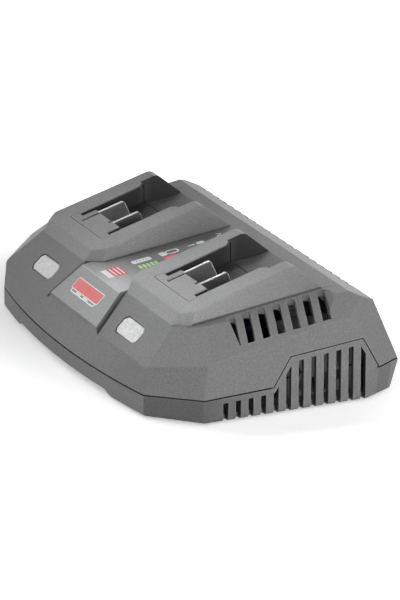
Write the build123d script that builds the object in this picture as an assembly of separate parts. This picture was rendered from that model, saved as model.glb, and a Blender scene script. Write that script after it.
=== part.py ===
from build123d import *
from math import atan2, cos, degrees, floor, hypot, radians, sin, tan
import os

# Dual-bay charger for slide-on battery packs, as an assembly of separate pieces.
# Lengths are millimetres. X runs along the width, Y from the front to the rear and Z up.
# The pieces are drawn with Y = 0 at the front corners of the casing, and moved to the
# middle of the depth when they are written.

# Casing: plan outline, seam and outer faces
WIDTH = 250.8
REAR_Y = 145.8
FRONT_BOW = 8.5
FRONT_CHAMFER = 25.0
REAR_CHAMFER_X = 7.6
REAR_CHAMFER_Y = 14.6
WALL = 2.6
FOOT_GAP = 1.0
SEAM_FRONT_Z = 13.1
SEAM_RISE = 0.042
SEAM_GAP = 0.6
LIP_THICKNESS = 1.2
LIP_HEIGHT = 2.0
FRONT_RIDGE_Y = 1.3
FRONT_RIDGE_Z = 28.7
FRONT_SLOPE = 43.1
TOP_FRONT_Z = 44.34
TOP_SLOPE = 7.9
SIDE_DROP = 13.2
SHOULDER_FRONT_INSET = 18.4
SHOULDER_FRONT_Y = 36.5
SHOULDER_REAR_INSET = 13.4
CORNER_LEAN = 2.4
REAR_UNDERCUT = 4.2
DECK_DEPTH = 28.3
BEVEL_SLOPE = 23.8
BEVEL_DEPTH = 14.1
BASE_RADIUS = 2.5
EDGE_RADIUS = 1.5

# Raised front edge of the base
RELIEF_HALF_WIDTH = 60.0
RELIEF_RAMP = 9.0
RELIEF_RISE = 3.5
RELIEF_DEPTH = 22.0

# Bays
BAY_PITCH = 120.0
PLATEAU_FRONT_Y = 25.2
PLATEAU_FRONT_Z = 54.1
PLATEAU_SLOPE = 16.7
PLATEAU_HALF_WIDTH = 37.3
PLATEAU_FRONT_HALF_WIDTH = 31.5
PLATEAU_CORNER_DEPTH = 5.3
PLATEAU_FOOT_HALF_WIDTH = 29.7
PLATEAU_DRAFT = 1.3
PLATEAU_NOSE_RUN = 4.0
PLATEAU_NOSE_DROP = 6.8
PLATEAU_TAIL = 17.5
PLATEAU_EDGE_RADIUS = 1.2
PLATEAU_RIDGE_RADIUS = 5.0
LIP_GAP_HALF_WIDTH = 21.8
RAIL_HALF_WIDTH = 27.0
BAY_DEPTH = 12.5
BLOCK_START = 10.1
CHANNEL_START = 15.6
LIP_SHORTFALL = 11.0
LIP_CHAMFER = 3.0
SILL_RISE = 2.1
POCKET_LINER = 2.0

# Terminal blocks and blades
BLOCK_NOSE_HALF_WIDTH = 22.9
BLOCK_NOSE_LENGTH = 13.7
BLOCK_WALL = 1.6
BLOCK_FLOOR = 2.0
BLOCK_CLEARANCE = 0.3
BLADE_THICKNESS = 1.0
BLADE_OFFSETS = (-15.2, 6.4)
BLADE_START = 24.5
BLADE_LENGTH = 17.0
BLADE_TOP_DEPTH = 1.1
BLADE_TAIL_START = 6.0
BLADE_TAIL_LENGTH = 6.0
BLADE_TAIL_DEPTH = 6.0
FINGER_X = (-16.6, -12.3)
SLOT_RIGHT_X = -9.8
PLATE_HALF_WIDTH = 21.4
PLATE_RIGHT_X = 17.7
NOTCH_X = (5.4, 7.4)
EAR_THICKNESS = 2.0
BLOCK_BOSS_RADIUS = 2.7

# Indicator windows
LENS_HALF_WIDTH = 12.9
LENS_START = 6.4
LENS_HEIGHT = 10.9
LENS_CORNER = 2.4
LENS_GAP = 0.45
LENS_FLANGE = 1.6
LENS_FLANGE_THICKNESS = 1.0
LED_BOARD_GAP = 6.0
LED_BOARD_THICKNESS = 1.2
LED_SPACING = 9.0

# Raised panel on the front slope between the bays
PANEL_HALF_WIDTH = 34.5
PANEL_TOP_HALF_WIDTH = 29.0
PANEL_RISE = 2.0
PANEL_DRAFT = 1.2
PANEL_REAR_Y = 26.0
PANEL_EDGE_RADIUS = 0.4
PANEL_GROOVE = 0.8

# Vents
LOW_VENT_FIRST_Y = 36.2
LOW_VENT_PITCH = 7.53
LOW_VENT_WIDTH = 3.1
LOW_VENT_MARGIN = 3.0
LOW_VENT_DEPTH = 4.6
CHEEK_START_Y = 65.3
CHEEK_TOP_START_Y = 76.8
CHEEK_HEIGHT = 16.0
HIGH_VENT_FIRST_Y = 51.7
HIGH_VENT_PITCH = 9.0
HIGH_VENT_WIDTH = 4.5
HIGH_VENT_SWEEP = 5.4
HIGH_VENT_FRONT_Y = 48.0
RECESS_DROP = 9.417
RECESS_FOOT_INSET = 4.4
RECESS_RIB_DEPTH = 4.0
REAR_VENT_FIRST_X = -104.0
REAR_VENT_PITCH = 10.0
REAR_VENT_COUNT = 20
REAR_VENT_WIDTH = 5.0
REAR_VENT_HEIGHT = 27.0

# Fasteners
CASE_SCREW_RADIUS = 1.75
CASE_SCREW_HEAD_RADIUS = 3.4
CASE_SCREW_HEAD_HEIGHT = 2.4
CASE_SCREW_LENGTH = 22.0
CASE_BOSS_RADIUS = 4.5
LOWER_BOSS_TOP = 12.0
SCREW_SEAT_RISE = 0.6
BOARD_SCREW_RADIUS = 1.25
BOARD_SCREW_HEAD_RADIUS = 2.7
BOARD_SCREW_HEAD_HEIGHT = 1.8
BOARD_SCREW_LENGTH = 6.5
THREAD_CLEARANCE = 0.05
FOOT_RADIUS = 6.5
FOOT_SEAT_DEPTH = 0.8

# Main board and what stands on it
BOARD_THICKNESS = 1.6
BOARD_HEIGHT = 9.0
BOARD_LEFT_X = -112.0
BOARD_RIGHT_X = 88.0
BOARD_FRONT_Y = 36.0
BOARD_REAR_Y = 116.0
BOARD_POST_RADIUS = 3.5
BOARD_HOLE_INSET = 6.0
SEAT_GAP = 0.05
TRANSFORMER_PLACE = (0.0, 82.0)
CORE_SIZE = (42.0, 16.0, 30.0)
CORE_LEG = 12.0
CORE_YOKE = 5.5
WINDING_DEPTH = 30.0
BULK_CAPACITOR_X = (-91.0, -65.0)
BULK_CAPACITOR_RADIUS = 11.0
BULK_CAPACITOR_HEIGHT = 28.0
OUTPUT_CAPACITOR_RADIUS = 5.0
OUTPUT_CAPACITOR_HEIGHT = 18.0
OUTPUT_CAPACITOR_X = (30.0, 42.0, 54.0, 66.0)
CHOKE_PLACE = (-96.0, 66.0)
CHOKE_RADIUS = 10.0
CHOKE_WIRE_RADIUS = 4.0
PRIMARY_SINK = (-36.0, 42.0)
OUTPUT_SINK = (46.0, 98.0)
SINK_LENGTH = 52.0
SINK_HEIGHT = 26.0
SINK_BASE = 3.0
SINK_FIN_LENGTH = 9.0
SINK_FIN_THICKNESS = 1.4
SINK_FIN_COUNT = 7
FUSE_PLACE = (-86.0, 44.0)
FUSE_RADIUS = 2.6
FUSE_LENGTH = 20.0
HEADER_SIZE = (9.0, 7.0, 7.0)
LEAD_RADIUS = 1.0

# Mains inlet
INLET_Z = 11.0
INLET_X = -70.0
INLET_HALF_SPAN = 3.6
INLET_RADIUS = 3.5
INLET_DEPTH = 9.0
INLET_WALL = 1.2
INLET_BODY_DEPTH = 14.0
INLET_PIN_SPACING = 8.6
INLET_PIN_RADIUS = 1.2

# Fan
FAN_SIZE = 40.0
FAN_THICKNESS = 15.0
FAN_Y = 98.0
FAN_WALL_GAP = 10.0
FAN_RIM = 1.0
FAN_BLADE_GAP = 0.8
FAN_HUB_RADIUS = 10.5
FAN_BLADE_COUNT = 7
FAN_BLADE_ANGLE = 38.0
FAN_BLADE_THICKNESS = 1.2
FAN_SHAFT_RADIUS = 1.0
FAN_RUNNING_CLEARANCE = 0.05
FAN_GUIDE_THICKNESS = 2.0
FAN_GUIDE_CLEARANCE = 0.3
FAN_PLATE = 2.4
BEARING_RADIUS = 3.0
BEARING_LENGTH = 9.0
CUP_WALL = 1.2

HALF_WIDTH = WIDTH / 2
FRONT_CORNER_X = HALF_WIDTH - FRONT_CHAMFER
REAR_CORNER_X = HALF_WIDTH - REAR_CHAMFER_X
SHOULDER_FRONT_X = HALF_WIDTH - SHOULDER_FRONT_INSET
SHOULDER_REAR_X = HALF_WIDTH - SHOULDER_REAR_INSET
RECESS_FOOT_X = HALF_WIDTH - RECESS_FOOT_INSET
SIDE_END_Y = REAR_Y - REAR_CHAMFER_Y
MID_Y = (REAR_Y - FRONT_BOW) / 2
BAY_X = BAY_PITCH / 2
FAN_BORE_RADIUS = FAN_SIZE / 2 - FAN_RIM
SHOULDER_X = BAY_X + PLATEAU_HALF_WIDTH + PLATEAU_DRAFT
RECESS_HEAD_X = SHOULDER_X + 0.5
RECESS_SLOPE = RECESS_DROP / (RECESS_FOOT_X - RECESS_HEAD_X)
DECK_REAR_Y = REAR_Y - DECK_DEPTH
RIDGE_Y = DECK_REAR_Y - 8.5 - PLATEAU_TAIL
BEVEL_END_Y = DECK_REAR_Y + BEVEL_DEPTH
RIDGE_Z = PLATEAU_FRONT_Z + (RIDGE_Y - PLATEAU_FRONT_Y) * tan(radians(PLATEAU_SLOPE))
RIDGE_S = (RIDGE_Y - PLATEAU_FRONT_Y) / cos(radians(PLATEAU_SLOPE))
LIP_END = RIDGE_S - LIP_SHORTFALL
BLOCK_END_Y = RIDGE_Y - 8.5
FLOOR_Z = FOOT_GAP + WALL
SCREW_SEAT_Z = FLOOR_Z + SCREW_SEAT_RISE
POST_X = LENS_HALF_WIDTH + 3.7
LED_BOARD_N = -(WALL + LENS_FLANGE_THICKNESS + LED_BOARD_GAP)
BLOCK_BOSS_X = RAIL_HALF_WIDTH + BLOCK_WALL + 3.2
BLOCK_BOSS_PLACES = (20.0, LIP_END - 6)
BLOCK_BOSS_N = -(WALL + 6)
BOARD_TOP = BOARD_HEIGHT + BOARD_THICKNESS
CENTRE_BOSS_FRONT_Y = 28.0
REAR_BOSS_Y = SIDE_END_Y - 6.0
BIG = 400.0


def top_z(y):
    """Height of the casing's top face."""
    return TOP_FRONT_Z + y * tan(radians(TOP_SLOPE))


def plateau_z(y):
    """Height of the plateaus' top faces."""
    return PLATEAU_FRONT_Z + (y - PLATEAU_FRONT_Y) * tan(radians(PLATEAU_SLOPE))


def seam_z(y):
    """Height of the parting line between the two shells."""
    return SEAM_FRONT_Z + SEAM_RISE * y


def rear_wall_y(z):
    """Depth of the leaning rear face at a height below the seam."""
    return REAR_Y - REAR_UNDERCUT * (1 - z / seam_z(REAR_Y))


BEVEL_END_Z = top_z(DECK_REAR_Y) - BEVEL_DEPTH * tan(radians(BEVEL_SLOPE))
TAIL_FOOT_Y = RIDGE_Y + PLATEAU_TAIL
SILL_Z = top_z(TAIL_FOOT_Y) + SILL_RISE
INLET_LOW_Z = INLET_Z - INLET_RADIUS - INLET_WALL
INLET_FACE_Y = rear_wall_y(INLET_LOW_Z) - 0.2
INLET_FLANGE_Y = rear_wall_y(INLET_LOW_Z - 1.5) - WALL - 0.2


def block(x, y, z):
    """Box between two limits along each axis."""
    size = [high - low for low, high in (x, y, z)]
    middle = [(high + low) / 2 for low, high in (x, y, z)]
    return Pos(*middle) * Box(*size)


def drum(radius, x, y, low, high):
    """Upright cylinder between two heights."""
    return Pos(x, y, (low + high) / 2) * Cylinder(radius, high - low)


def inset_polygon(points, distance):
    """Corner points of an anticlockwise outline moved inwards, with mitred corners."""
    moved = []
    for index, here in enumerate(points):
        before = points[index - 1]
        after = points[(index + 1) % len(points)]
        normals = []
        for start, end in ((before, here), (here, after)):
            run = (end[0] - start[0], end[1] - start[1])
            length = hypot(*run)
            normals.append((-run[1] / length, run[0] / length))
        (ax, ay), (bx, by) = normals
        share = distance / (1 + ax * bx + ay * by)
        moved.append((here[0] + (ax + bx) * share, here[1] + (ay + by) * share))
    return moved


def plan_points():
    """Corners of the casing seen from above, anticlockwise from the front left."""
    right = [
        (FRONT_CORNER_X, 0.0),
        (HALF_WIDTH, FRONT_CHAMFER),
        (HALF_WIDTH, SIDE_END_Y),
        (REAR_CORNER_X, REAR_Y),
    ]
    left = [(-x, y) for x, y in reversed(right)]
    return [left[-1]] + right + left[:-1]


def plan_face(inset):
    """Plan outline with its bowed front, moved inwards by inset."""
    points = inset_polygon(plan_points(), inset)
    bow = (0.0, points[0][1] - FRONT_BOW)
    front = ThreePointArc(points[0], bow, points[1])
    rest = Polyline(*points[1:], points[0])
    return make_face([front.edge(), *rest.edges()])


def trim(solid, point, normal, inset=0.0):
    """Cut away what lies outside a plane that is first moved inwards by inset."""
    direction = Vector(*normal).normalized()
    origin = Vector(*point) - direction * inset
    return solid - Plane(origin=origin, z_dir=direction) * Pos(0, 0, BIG / 2) * Box(BIG, BIG, BIG)


def upward_normal(a, b, c):
    """Normal of the plane through three points, turned to point up."""
    normal = (Vector(*b) - Vector(*a)).cross(Vector(*c) - Vector(*a)).normalized()
    if normal.Z < 0:
        normal = normal * -1
    return (normal.X, normal.Y, normal.Z)


def band_cutter(inset):
    """Space in front of the front band, which is bowed at the seam and straight at its ridge."""
    reach = HALF_WIDTH + 20
    far = -BIG / 4
    bow = ThreePointArc((-FRONT_CORNER_X, 0), (0, -FRONT_BOW), (FRONT_CORNER_X, 0))
    low_rim = Polyline(
        (FRONT_CORNER_X, 0),
        (reach, 0),
        (reach, far),
        (-reach, far),
        (-reach, 0),
        (-FRONT_CORNER_X, 0),
    )
    high_rim = Polyline(
        (-FRONT_CORNER_X, FRONT_RIDGE_Y),
        (FRONT_CORNER_X, FRONT_RIDGE_Y),
        (reach, FRONT_RIDGE_Y),
        (reach, far),
        (-reach, far),
        (-reach, FRONT_RIDGE_Y),
        (-FRONT_CORNER_X, FRONT_RIDGE_Y),
    )
    low = Pos(0, 0, SEAM_FRONT_Z) * make_face([bow.edge(), *low_rim.edges()])
    high = Pos(0, 0, FRONT_RIDGE_Z) * make_face(high_rim.edges())
    above = extrude(high, BIG / 4)
    return Pos(0, inset, 0) * (loft([low, high], ruled=True) + above)


def side_faces(side):
    """Sloping faces of one side of the casing, each as a point and an outward normal."""
    ridge_y = FRONT_CHAMFER + 3.6
    slope = [
        (side * HALF_WIDTH, ridge_y, top_z(ridge_y) - SIDE_DROP),
        (side * SHOULDER_FRONT_X, SHOULDER_FRONT_Y, top_z(SHOULDER_FRONT_Y)),
        (side * SHOULDER_REAR_X, DECK_REAR_Y, top_z(DECK_REAR_Y)),
    ]
    corner = [
        (side * FRONT_CORNER_X, FRONT_RIDGE_Y, FRONT_RIDGE_Z + 0.3),
        slope[0],
        (side * (SHOULDER_FRONT_X + 0.5), SHOULDER_FRONT_Y - 1, top_z(SHOULDER_FRONT_Y)),
    ]
    corner_wall = [
        (side * FRONT_CORNER_X, 0, seam_z(0)),
        (side * HALF_WIDTH, FRONT_CHAMFER, seam_z(FRONT_CHAMFER)),
        (side * HALF_WIDTH, FRONT_CHAMFER + CORNER_LEAN, slope[0][2]),
    ]
    rear_corner = [
        (side * HALF_WIDTH, SIDE_END_Y, seam_z(SIDE_END_Y)),
        (side * REAR_CORNER_X, REAR_Y, seam_z(REAR_Y)),
        (side * (HALF_WIDTH - 10.9), BEVEL_END_Y, BEVEL_END_Z),
    ]
    faces = (slope, corner, corner_wall, rear_corner)
    return [(face[0], upward_normal(*face)) for face in faces]


def casing_faces():
    """Outer faces above the seam, each as a point and an outward normal."""
    rear_lean = atan2(REAR_Y - BEVEL_END_Y, BEVEL_END_Z - seam_z(REAR_Y))
    slope = radians(FRONT_SLOPE)
    top = radians(TOP_SLOPE)
    bevel = radians(BEVEL_SLOPE)
    faces = [
        ((0, FRONT_RIDGE_Y, FRONT_RIDGE_Z), (0, -sin(slope), cos(slope))),
        ((0, 0, TOP_FRONT_Z), (0, -sin(top), cos(top))),
        ((0, DECK_REAR_Y, top_z(DECK_REAR_Y)), (0, sin(bevel), cos(bevel))),
        ((0, BEVEL_END_Y, BEVEL_END_Z), (0, cos(rear_lean), sin(rear_lean))),
    ]
    return faces + side_faces(1) + side_faces(-1)


def undercut_faces():
    """Rear faces below the seam, which lean inwards, each as a point and an outward normal."""
    drop = -REAR_UNDERCUT / seam_z(REAR_Y)
    corner_run = hypot(REAR_CHAMFER_X, REAR_CHAMFER_Y)
    across = REAR_CHAMFER_Y / corner_run
    along = REAR_CHAMFER_X / corner_run
    faces = [((0, REAR_Y, seam_z(REAR_Y)), (0, 1, drop))]
    for side in (-1, 1):
        corner = (side * HALF_WIDTH, SIDE_END_Y, seam_z(SIDE_END_Y))
        faces.append((corner, (side * across, along, drop)))
    return faces


def upright_casing_form(inset, base_z):
    """Closed form of both shells together, still upright at the rear below the seam."""
    form = extrude(Pos(0, 0, base_z) * plan_face(inset), BIG / 4)
    form -= band_cutter(inset)
    for point, normal in casing_faces():
        form = trim(form, point, normal, inset)
    return form


def undercut(form, inset):
    """Form with its rear faces below the seam leaning inwards."""
    for point, normal in undercut_faces():
        form = trim(form, point, normal, inset)
    return form


def casing_form(inset, base_z):
    """Closed form of both shells together, with its faces moved inwards by inset."""
    return undercut(upright_casing_form(inset, base_z), inset)


def rounded_casing_form():
    """Outer form of the casing with its edges rounded."""
    form = upright_casing_form(0, FOOT_GAP)
    sharp = [edge for edge in form.edges() if edge.center().Z > FOOT_GAP + 0.5]
    sharp = [edge for edge in sharp if abs(edge.center().Z - SEAM_FRONT_Z) > 0.8]
    form = undercut(fillet(sharp, EDGE_RADIUS), 0)
    return fillet(form.edges().group_by(Axis.Z)[0], BASE_RADIUS)


def front_panel():
    """Low raised panel on the front slope, running back between the plateaus."""
    slope = radians(FRONT_SLOPE)
    top = radians(TOP_SLOPE)
    wide = PANEL_HALF_WIDTH + PANEL_DRAFT + 5
    heights = (FRONT_RIDGE_Z - 6, top_z(PANEL_REAR_Y) + 5)
    form = block((-wide, wide), (FRONT_RIDGE_Y - 2, PANEL_REAR_Y), heights)
    front_z = FRONT_RIDGE_Z + PANEL_RISE
    form = trim(form, (0, FRONT_RIDGE_Y, front_z), (0, -sin(slope), cos(slope)))
    form = trim(form, (0, 0, TOP_FRONT_Z), (0, -sin(top), cos(top)))
    form = trim(form, (0, FRONT_RIDGE_Y, FRONT_RIDGE_Z), (0, -1, 0.15))
    crest_y = FRONT_RIDGE_Y + (top_z(FRONT_RIDGE_Y) - front_z) / (tan(slope) - tan(top))
    for side in (-1, 1):
        flank = [
            (side * PANEL_HALF_WIDTH, FRONT_RIDGE_Y, front_z),
            (side * PANEL_TOP_HALF_WIDTH, crest_y, top_z(crest_y)),
            (side * (PANEL_HALF_WIDTH + PANEL_DRAFT), FRONT_RIDGE_Y, FRONT_RIDGE_Z),
        ]
        form = trim(form, flank[0], upward_normal(*flank))
    upper = [edge for edge in form.edges() if edge.center().Z > front_z - 0.5]
    upper = [edge for edge in upper if edge.center().Y < PANEL_REAR_Y - 6]
    return fillet(upper, PANEL_EDGE_RADIUS)


def panel_grooves():
    """Narrow grooves in the front slope along both flanks of the raised panel."""
    slope = radians(FRONT_SLOPE)
    rise = top_z(FRONT_RIDGE_Y) - FRONT_RIDGE_Z
    length = rise / (tan(slope) - tan(radians(TOP_SLOPE))) / cos(slope)
    foot = PANEL_HALF_WIDTH + PANEL_DRAFT
    head = PANEL_TOP_HALF_WIDTH - 0.8
    grooves = []
    for side in (-1, 1):
        points = [
            (side * foot, -1.5),
            (side * (foot + PANEL_GROOVE), -1.5),
            (side * (head + PANEL_GROOVE), length),
            (side * head, length),
        ]
        outline = make_face(Polyline(*points, points[0]).edges())
        grooves.append(slope_frame(0) * Pos(0, 0, -PANEL_GROOVE) * extrude(outline, 1.2))
    return grooves


def plateau(bay_x, inset=0.0):
    """Raised wedge that carries one pack, with its faces moved inwards by inset."""
    low = top_z(PLATEAU_FRONT_Y) - 12
    half = PLATEAU_HALF_WIDTH + PLATEAU_DRAFT
    form = block((-half, half), (0, REAR_Y), (low, RIDGE_Z + 20))
    slope = radians(PLATEAU_SLOPE)
    nose = hypot(PLATEAU_NOSE_RUN, PLATEAU_NOSE_DROP)
    tail = (0, RIDGE_Z - top_z(TAIL_FOOT_Y), PLATEAU_TAIL)
    front_top = (0, PLATEAU_FRONT_Y, PLATEAU_FRONT_Z)
    form = trim(form, front_top, (0, -sin(slope), cos(slope)), inset)
    form = trim(form, front_top, (0, -PLATEAU_NOSE_DROP / nose, PLATEAU_NOSE_RUN / nose), inset)
    form = trim(form, (0, RIDGE_Y, RIDGE_Z), tail, inset)
    corner_end_y = PLATEAU_FRONT_Y + PLATEAU_CORNER_DEPTH
    foot_y = PLATEAU_FRONT_Y - PLATEAU_NOSE_RUN
    for side in (-1, 1):
        corner = [
            (side * PLATEAU_FRONT_HALF_WIDTH, PLATEAU_FRONT_Y, PLATEAU_FRONT_Z),
            (side * (PLATEAU_HALF_WIDTH - 0.4), corner_end_y, plateau_z(corner_end_y)),
            (side * PLATEAU_FOOT_HALF_WIDTH, foot_y, PLATEAU_FRONT_Z - PLATEAU_NOSE_DROP),
        ]
        form = trim(form, corner[0], upward_normal(*corner), inset)
        flank = [
            (side * half, PLATEAU_FRONT_Y, top_z(PLATEAU_FRONT_Y)),
            (side * half, RIDGE_Y, top_z(RIDGE_Y)),
            (side * PLATEAU_HALF_WIDTH, RIDGE_Y, RIDGE_Z),
        ]
        form = trim(form, flank[0], upward_normal(*flank), inset)
    if inset == 0:
        ridge = form.edges().filter_by(Axis.X).sort_by(Axis.Z)[-1]
        form = fillet(ridge, PLATEAU_RIDGE_RADIUS)
        upper = [edge for edge in form.edges() if edge.center().Z > PLATEAU_FRONT_Z - 4.5]
        form = fillet(upper, PLATEAU_EDGE_RADIUS)
    return Pos(bay_x, 0, 0) * form


def bay_frame(bay_x):
    """Frame on one plateau's top face: X across, Y up the slope and Z out of the face."""
    slope = radians(PLATEAU_SLOPE)
    origin = (bay_x, PLATEAU_FRONT_Y, PLATEAU_FRONT_Z)
    return Plane(origin=origin, x_dir=(1, 0, 0), z_dir=(0, -sin(slope), cos(slope)))


def slope_frame(bay_x):
    """Frame on the front slope below one bay: X across, Y up the slope and Z out of it."""
    slope = radians(FRONT_SLOPE)
    origin = (bay_x, FRONT_RIDGE_Y, FRONT_RIDGE_Z)
    return Plane(origin=origin, x_dir=(1, 0, 0), z_dir=(0, -sin(slope), cos(slope)))


def below_seam(offset=0.0):
    """Everything under the parting line, raised by offset."""
    tilt = degrees(atan2(SEAM_RISE, 1))
    return Pos(0, 0, SEAM_FRONT_Z + offset) * Rot(X=tilt) * Pos(0, 0, -BIG / 2) * Box(2 * BIG, 2 * BIG, BIG)


def cheek_points():
    """Side panel of the lower shell that rises into the upper shell, in Y and Z."""
    top_end_y = SIDE_END_Y - 11.1
    return [
        (CHEEK_START_Y, seam_z(CHEEK_START_Y)),
        (SIDE_END_Y, seam_z(SIDE_END_Y)),
        (top_end_y, seam_z(top_end_y) + CHEEK_HEIGHT + 2.4),
        (CHEEK_TOP_START_Y, seam_z(CHEEK_TOP_START_Y) + CHEEK_HEIGHT),
    ]


def side_prism(points, side, depth):
    """Outline in Y and Z pushed inwards from one side wall by depth."""
    outline = make_face(Polyline(*points, points[0]).edges())
    solid = extrude(Plane.YZ * outline, depth + 1)
    if side < 0:
        return Pos(-HALF_WIDTH - 1, 0, 0) * solid
    return Pos(HALF_WIDTH - depth, 0, 0) * solid


def lower_region():
    """Space that belongs to the lower shell."""
    region = below_seam()
    outline = cheek_points()
    outline[0] = (outline[0][0], outline[0][1] - 2)
    outline[1] = (outline[1][0], outline[1][1] - 2)
    for side in (-1, 1):
        region += side_prism(outline, side, WALL)
    return region


def upper_cut_region():
    """Space taken out of the upper shell: the lower shell's region and the seam gap."""
    region = below_seam(SEAM_GAP)
    outline = inset_polygon(cheek_points(), -SEAM_GAP)
    outline[0] = (outline[0][0], outline[0][1] - 2)
    outline[1] = (outline[1][0], outline[1][1] - 2)
    for side in (-1, 1):
        region += side_prism(outline, side, WALL + 3)
    return region


def low_vents():
    """Upright slots through both sides of the lower shell, open at the bottom edge."""
    start = LOW_VENT_FIRST_Y - 8
    outline = [
        (start, -2 * LOW_VENT_MARGIN),
        (SIDE_END_Y, -2 * LOW_VENT_MARGIN),
        (SIDE_END_Y, seam_z(SIDE_END_Y)),
        *cheek_points()[2:],
        (CHEEK_START_Y, seam_z(CHEEK_START_Y)),
        (start, seam_z(start)),
    ]
    field = inset_polygon(outline, LOW_VENT_MARGIN)
    last_y = SIDE_END_Y - LOW_VENT_MARGIN - 2 * LOW_VENT_WIDTH
    count = floor((last_y - LOW_VENT_FIRST_Y) / LOW_VENT_PITCH) + 1
    slots = []
    for side in (-1, 1):
        region = side_prism(field, side, LOW_VENT_DEPTH)
        for index in range(count):
            y = LOW_VENT_FIRST_Y + index * LOW_VENT_PITCH
            band = block((-HALF_WIDTH - 2, HALF_WIDTH + 2), (y, y + LOW_VENT_WIDTH), (-5, 60))
            slots.append(region & band)
    return slots


def high_vent_count():
    """How many slots fit beside a plateau."""
    return floor((TAIL_FOOT_Y - HIGH_VENT_FIRST_Y) / HIGH_VENT_PITCH) + 1


def recess_prism(grow):
    """Upright prism over the outline of the right side recess, grown by grow."""
    last_y = HIGH_VENT_FIRST_Y + (high_vent_count() - 1) * HIGH_VENT_PITCH
    outline = [
        (SHOULDER_X + 0.6, HIGH_VENT_FRONT_Y),
        (RECESS_FOOT_X, HIGH_VENT_FRONT_Y),
        (RECESS_FOOT_X + 2.2, last_y - HIGH_VENT_SWEEP + HIGH_VENT_WIDTH / 2),
        (SHOULDER_REAR_X - 1.4, last_y + 4.0),
        (SHOULDER_X + 5.6, last_y + 4.0),
        (SHOULDER_X + 0.6, last_y + 1.6),
    ]
    points = inset_polygon(outline, -grow)
    return extrude(Pos(0, 0, 20) * make_face(Polyline(*points, points[0]).edges()), 60)


def above_recess_floor(solid, depth):
    """Part of a solid above the floor of the right side recess, lowered by depth."""
    floor_point = (RECESS_HEAD_X, 0, TOP_FRONT_Z - depth)
    return trim(solid, floor_point, (-RECESS_SLOPE, tan(radians(TOP_SLOPE)), -1))


def side_recesses():
    """Recesses between the plateaus and the sides, in which the high vents lie."""
    end_y = HIGH_VENT_FIRST_Y + (high_vent_count() - 1) * HIGH_VENT_PITCH + 4.0
    recess = trim(recess_prism(0), (SHOULDER_X, end_y, top_z(end_y)), (0, 1, -1))
    recess = above_recess_floor(recess, 0)
    return [recess, mirror(recess, about=Plane.YZ)]


def recess_backings(middle_form):
    """Material under the floors of the two side recesses and around their edges."""
    backing = above_recess_floor(recess_prism(2.0), RECESS_RIB_DEPTH) & middle_form
    return [backing, mirror(backing, about=Plane.YZ)]


def high_vents():
    """Swept slots through the floors of the side recesses."""
    prism = recess_prism(0)
    start_x = SHOULDER_X + 0.8 + HIGH_VENT_WIDTH / 2
    reach = HALF_WIDTH - start_x
    fall = HIGH_VENT_SWEEP * reach / (RECESS_FOOT_X - start_x)
    slot = SlotCenterToCenter(hypot(reach, fall), HIGH_VENT_WIDTH)
    cutters = []
    for index in range(high_vent_count()):
        y = HIGH_VENT_FIRST_Y + index * HIGH_VENT_PITCH
        middle = Pos(start_x + reach / 2, y - fall / 2, 25)
        cutter = prism & extrude(middle * Rot(Z=degrees(atan2(-fall, reach))) * slot, 50)
        cutters += [cutter, mirror(cutter, about=Plane.YZ)]
    return cutters


def rear_vents():
    """Upright slots through the rear face, open into the rear bevel."""
    top = BEVEL_END_Z + 1.0
    half = REAR_VENT_WIDTH / 2
    slots = []
    for index in range(REAR_VENT_COUNT):
        x = REAR_VENT_FIRST_X + index * REAR_VENT_PITCH
        heights = (top - REAR_VENT_HEIGHT, top)
        slots.append(block((x - half, x + half), (BEVEL_END_Y - WALL - 1, REAR_Y + 5), heights))
    return slots


def bay_cutters(bay_x):
    """What the terminal block and the pack take out of the top of one plateau."""
    frame = bay_frame(bay_x)
    nose = BLOCK_NOSE_HALF_WIDTH + BLOCK_CLEARANCE
    deep = -(WALL + 6)
    mouth = frame * block((-nose, nose), (BLOCK_START - BLOCK_CLEARANCE, CHANNEL_START), (deep, 5))
    points = [
        (-LIP_GAP_HALF_WIDTH, CHANNEL_START),
        (LIP_GAP_HALF_WIDTH, CHANNEL_START),
        (LIP_GAP_HALF_WIDTH, LIP_END - LIP_CHAMFER),
        (LIP_GAP_HALF_WIDTH + LIP_CHAMFER, LIP_END),
        (LIP_GAP_HALF_WIDTH + LIP_CHAMFER, LIP_END + 1),
        (-LIP_GAP_HALF_WIDTH - LIP_CHAMFER, LIP_END + 1),
        (-LIP_GAP_HALF_WIDTH - LIP_CHAMFER, LIP_END),
        (-LIP_GAP_HALF_WIDTH, LIP_END - LIP_CHAMFER),
    ]
    outline = make_face(Polyline(*points, points[0]).edges())
    gap = frame * Pos(0, 0, deep) * extrude(outline, 5 - deep)
    return [mouth, gap, pack_pocket(bay_x)]


def bay_floor_z(y):
    """Height of the bay floor on the terminal block."""
    return plateau_z(y) - BAY_DEPTH / cos(radians(PLATEAU_SLOPE))


def pack_pocket(bay_x):
    """Open rear part of a bay, whose floor curves up to the sill."""
    slope = radians(PLATEAU_SLOPE)
    start_y = PLATEAU_FRONT_Y + LIP_END * cos(slope)
    floor_z = bay_floor_z(BLOCK_END_Y)
    curve_y = BLOCK_END_Y + 9
    end_y = TAIL_FOOT_Y + 3
    end_z = SILL_Z + 1.6
    halfway = ((curve_y + end_y) / 2, floor_z + (end_z - floor_z) * 0.3)
    curve = ThreePointArc((curve_y, floor_z), halfway, (end_y, end_z))
    above = BIG / 4
    corners = [(end_y, end_z), (end_y, above), (start_y, above), (start_y, floor_z), (curve_y, floor_z)]
    outline = make_face([curve.edge(), *Polyline(*corners).edges()])
    return Pos(bay_x - RAIL_HALF_WIDTH, 0, 0) * extrude(Plane.YZ * outline, 2 * RAIL_HALF_WIDTH)


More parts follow.
